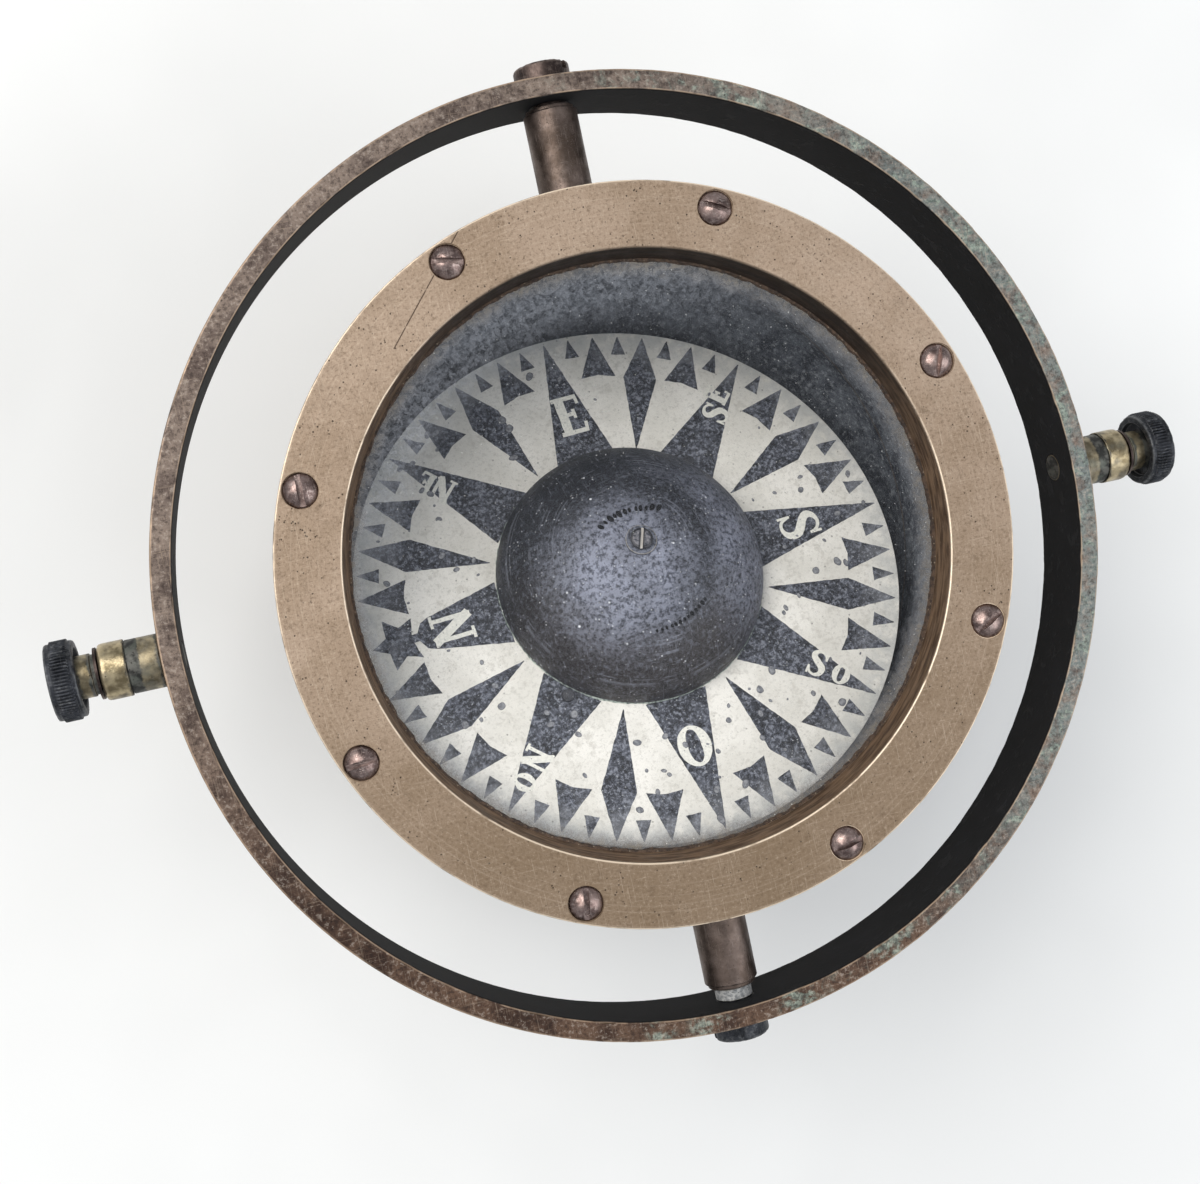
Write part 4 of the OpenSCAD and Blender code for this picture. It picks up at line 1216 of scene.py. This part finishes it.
def area_light(name, place, size, power, colour):
    """Rectangular light that faces the compass."""
    light = bpy.data.lights.new(name, "AREA")
    light.shape = "RECTANGLE"
    light.size, light.size_y = size
    light.energy = power
    light.color = colour
    lamp = linked(name, light)
    lamp.location = place
    lamp.rotation_mode = "QUATERNION"
    lamp.rotation_quaternion = (-Vector(place)).to_track_quat("-Z", "Y")


def make_stage():
    """Pale floor just under the compass, an even sky and two soft lights."""
    level, half = cad_box[0].z - 0.5 * MM, 2.5
    mesh = bpy.data.meshes.new("floor")
    mesh.from_pydata([(-half, -half, level), (half, -half, level), (half, half, level), (-half, half, level)],
                     [], [(0, 1, 2, 3)])
    mesh.materials.append(floor_look())
    linked("floor", mesh)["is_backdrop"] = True
    world = bpy.data.worlds.new("studio")
    world.use_nodes = True
    background = world.node_tree.nodes["Background"]
    background.inputs["Color"].default_value = (0.85, 0.885, 0.94, 1)
    background.inputs["Strength"].default_value = 0.6
    bpy.context.scene.world = world
    area_light("key", (-0.75, 0.55, 1.15), (1.3, 1.0), 20.5, (1.0, 0.98, 0.95))
    area_light("fill", (0.9, -0.5, 1.0), (1.2, 1.2), 10, (0.95, 0.97, 1.0))


def make_camera():
    """Camera above the bezel, leaning as the compass was looked at."""
    turn = Matrix.Identity(4)
    for angle, axis in ((12.18, "Z"), (6.93, "Y"), (2.28, "X")):
        turn = turn @ Matrix.Rotation(math.radians(angle), 4, axis)
    bowl_centre_in_view = Vector((10.654, 8.968, -411.52)) * MM
    camera = linked("camera", bpy.data.cameras.new("camera"))
    camera.matrix_world = BOWL @ turn.transposed() @ Matrix.Translation(-bowl_centre_in_view)
    camera.data.lens = 49.2
    camera.data.sensor_width = 36
    camera.data.clip_start = 0.01
    bpy.context.scene.camera = camera
    bpy.context.scene.view_settings.view_transform = "Standard"


# ---- everything ----

post_brass = aged_metal("post brass", (76, 65, 58), (108, 95, 88), (152, 139, 132), blotch=12,
                        rough=(0.4, 0.54), pits=0.08, mottle=0.2)
head_brass = aged_metal("pivot head bronze", (54, 46, 44), (88, 76, 71), (136, 122, 114), blotch=6,
                        rough=(0.4, 0.56), pits=0.1, mottle=0.5)
screw_bronze = aged_metal("screw bronze", (98, 82, 78), (146, 127, 121), (212, 196, 188), blotch=3,
                          rough=(0.26, 0.4), pits=0.08, mottle=0.5)
# Blackened brass of the knobs, also put on the front pivot head as painted shade
black_knob_and_head_shade = aged_metal("blackened brass and front head shade", (25, 27, 31), (52, 54, 59), (110, 111, 112), blotch=4,
                        rough=(0.42, 0.58), metallic=0.75, mottle=0.6)
inner_brass = aged_metal("inner brass", (120, 96, 60), (164, 136, 88), (208, 182, 126))
lead = aged_metal("ballast lead", (74, 78, 84), (110, 114, 120), (158, 160, 162), rough=(0.5, 0.7), pits=0.2)
steel = aged_metal("blued steel", (58, 62, 70), (96, 100, 108), (150, 154, 160), blotch=4)
under_brass = aged_metal("under brass", (88, 68, 48), (132, 106, 74), (186, 156, 112), blotch=12,
                         turn=(0, heel, 0))
zinc = plain_paint("corroded zinc", (124, 126, 128), (184, 184, 182), 0.9, 0.75, 0.12, (84, 84, 82),
                   Metallic=0.3)
rubber = plain_paint("old putty", (46, 35, 28), (84, 66, 52), 1.2, 0.85, 0.1, (150, 136, 116))
letter_paint = plain_paint("letter paint", (214, 213, 204), (232, 230, 220), 0.8, speck=(120, 120, 122))
cement = plain_paint("old cement", (92, 104, 100), (190, 200, 190), 0.7, 0.8)
bead_black = plain_paint("black bead", (3, 3, 5), (12, 12, 15), 0.5, 0.75, Specular_IOR_Level=0.2)
washer_paint = plain_paint("apex washer", (40, 43, 52), (104, 108, 120), 0.9, depth=0.1)
float_paint = plain_paint("float base paint", (36, 37, 42), (62, 63, 68), 4, speck=(110, 110, 112))
sapphire = plain_paint("jewel sapphire", (70, 110, 190), (110, 150, 220), 0.8, 0.15)
fibre = plain_paint("fibre washer", (106, 48, 32), (140, 70, 48), 0.8, 0.8, 0.06)
lubber_paint = plain_paint("lubber paint", (206, 198, 176), (228, 222, 204), 1.5, 0.5)

make_ring(ring_look())
# The front pivot head takes the darker knob brass as painted shade; the back one has the plain head bronze
for side, name, head_look in ((1, "back", head_brass), (-1, "front", black_knob_and_head_shade)):
    make_pivot_screw(side, name, head_look)
for side, name in ((1, "back"), (-1, "front")):
    make_boss(side, name, post_brass)
make_collar(zinc)
for side, name in ((1, "right"), (-1, "left")):
    make_bush(side, name)
    make_trunnion(side, name)
    make_knob(side, name, black_knob_and_head_shade)
make_bezel(bezel_look())
make_bezel_screws(screw_bronze)
make_shell(bowl_look())
make_seal(rubber)
make_glass(glass_look())
make_card(paper_look())
make_rose(ink_look())
make_letters(letter_paint)
make_stains(spot_look())
make_dome(dome_look())
make_dome_edge(cement)
make_beads(bead_black)
make_apex(washer_paint)

dress(inner_brass, 0.1, "pillar_nut", "diaphragm_clamp", "magnet_cradle")
dress(head_brass, 0.1, "thrust_washer_right", "thrust_washer_left")
dress(inner_brass, 0, "pivot_pillar", "spindle_socket", "expansion_diaphragm", "jewel_cup")
dress(under_brass, 0.3, "chamber_housing", "bottom_cap", "filler_plug")
dress(screw_bronze, 0.1, "cap_screws", "ballast_screw")
dress(lead, 0.4, "ballast_weight")
dress(steel, 0.2, "magnet_bar_east", "magnet_bar_west")
dress(steel, 0, "pivot_needle")
dress(rubber, 0.1, "lower_gasket")
dress(float_paint, 0, "float_base")
dress(float_paint, 0.1, "card_rivets")
dress(sapphire, 0, "jewel")
dress(fibre, 0.15, "filler_washer")
dress(lubber_paint, 0.1, "lubber_line")

make_stage()
make_camera()

boxes = {"cad": cad_box, "visual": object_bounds()}
{name: [list(corner) for corner in box] for name, box in boxes.items()}
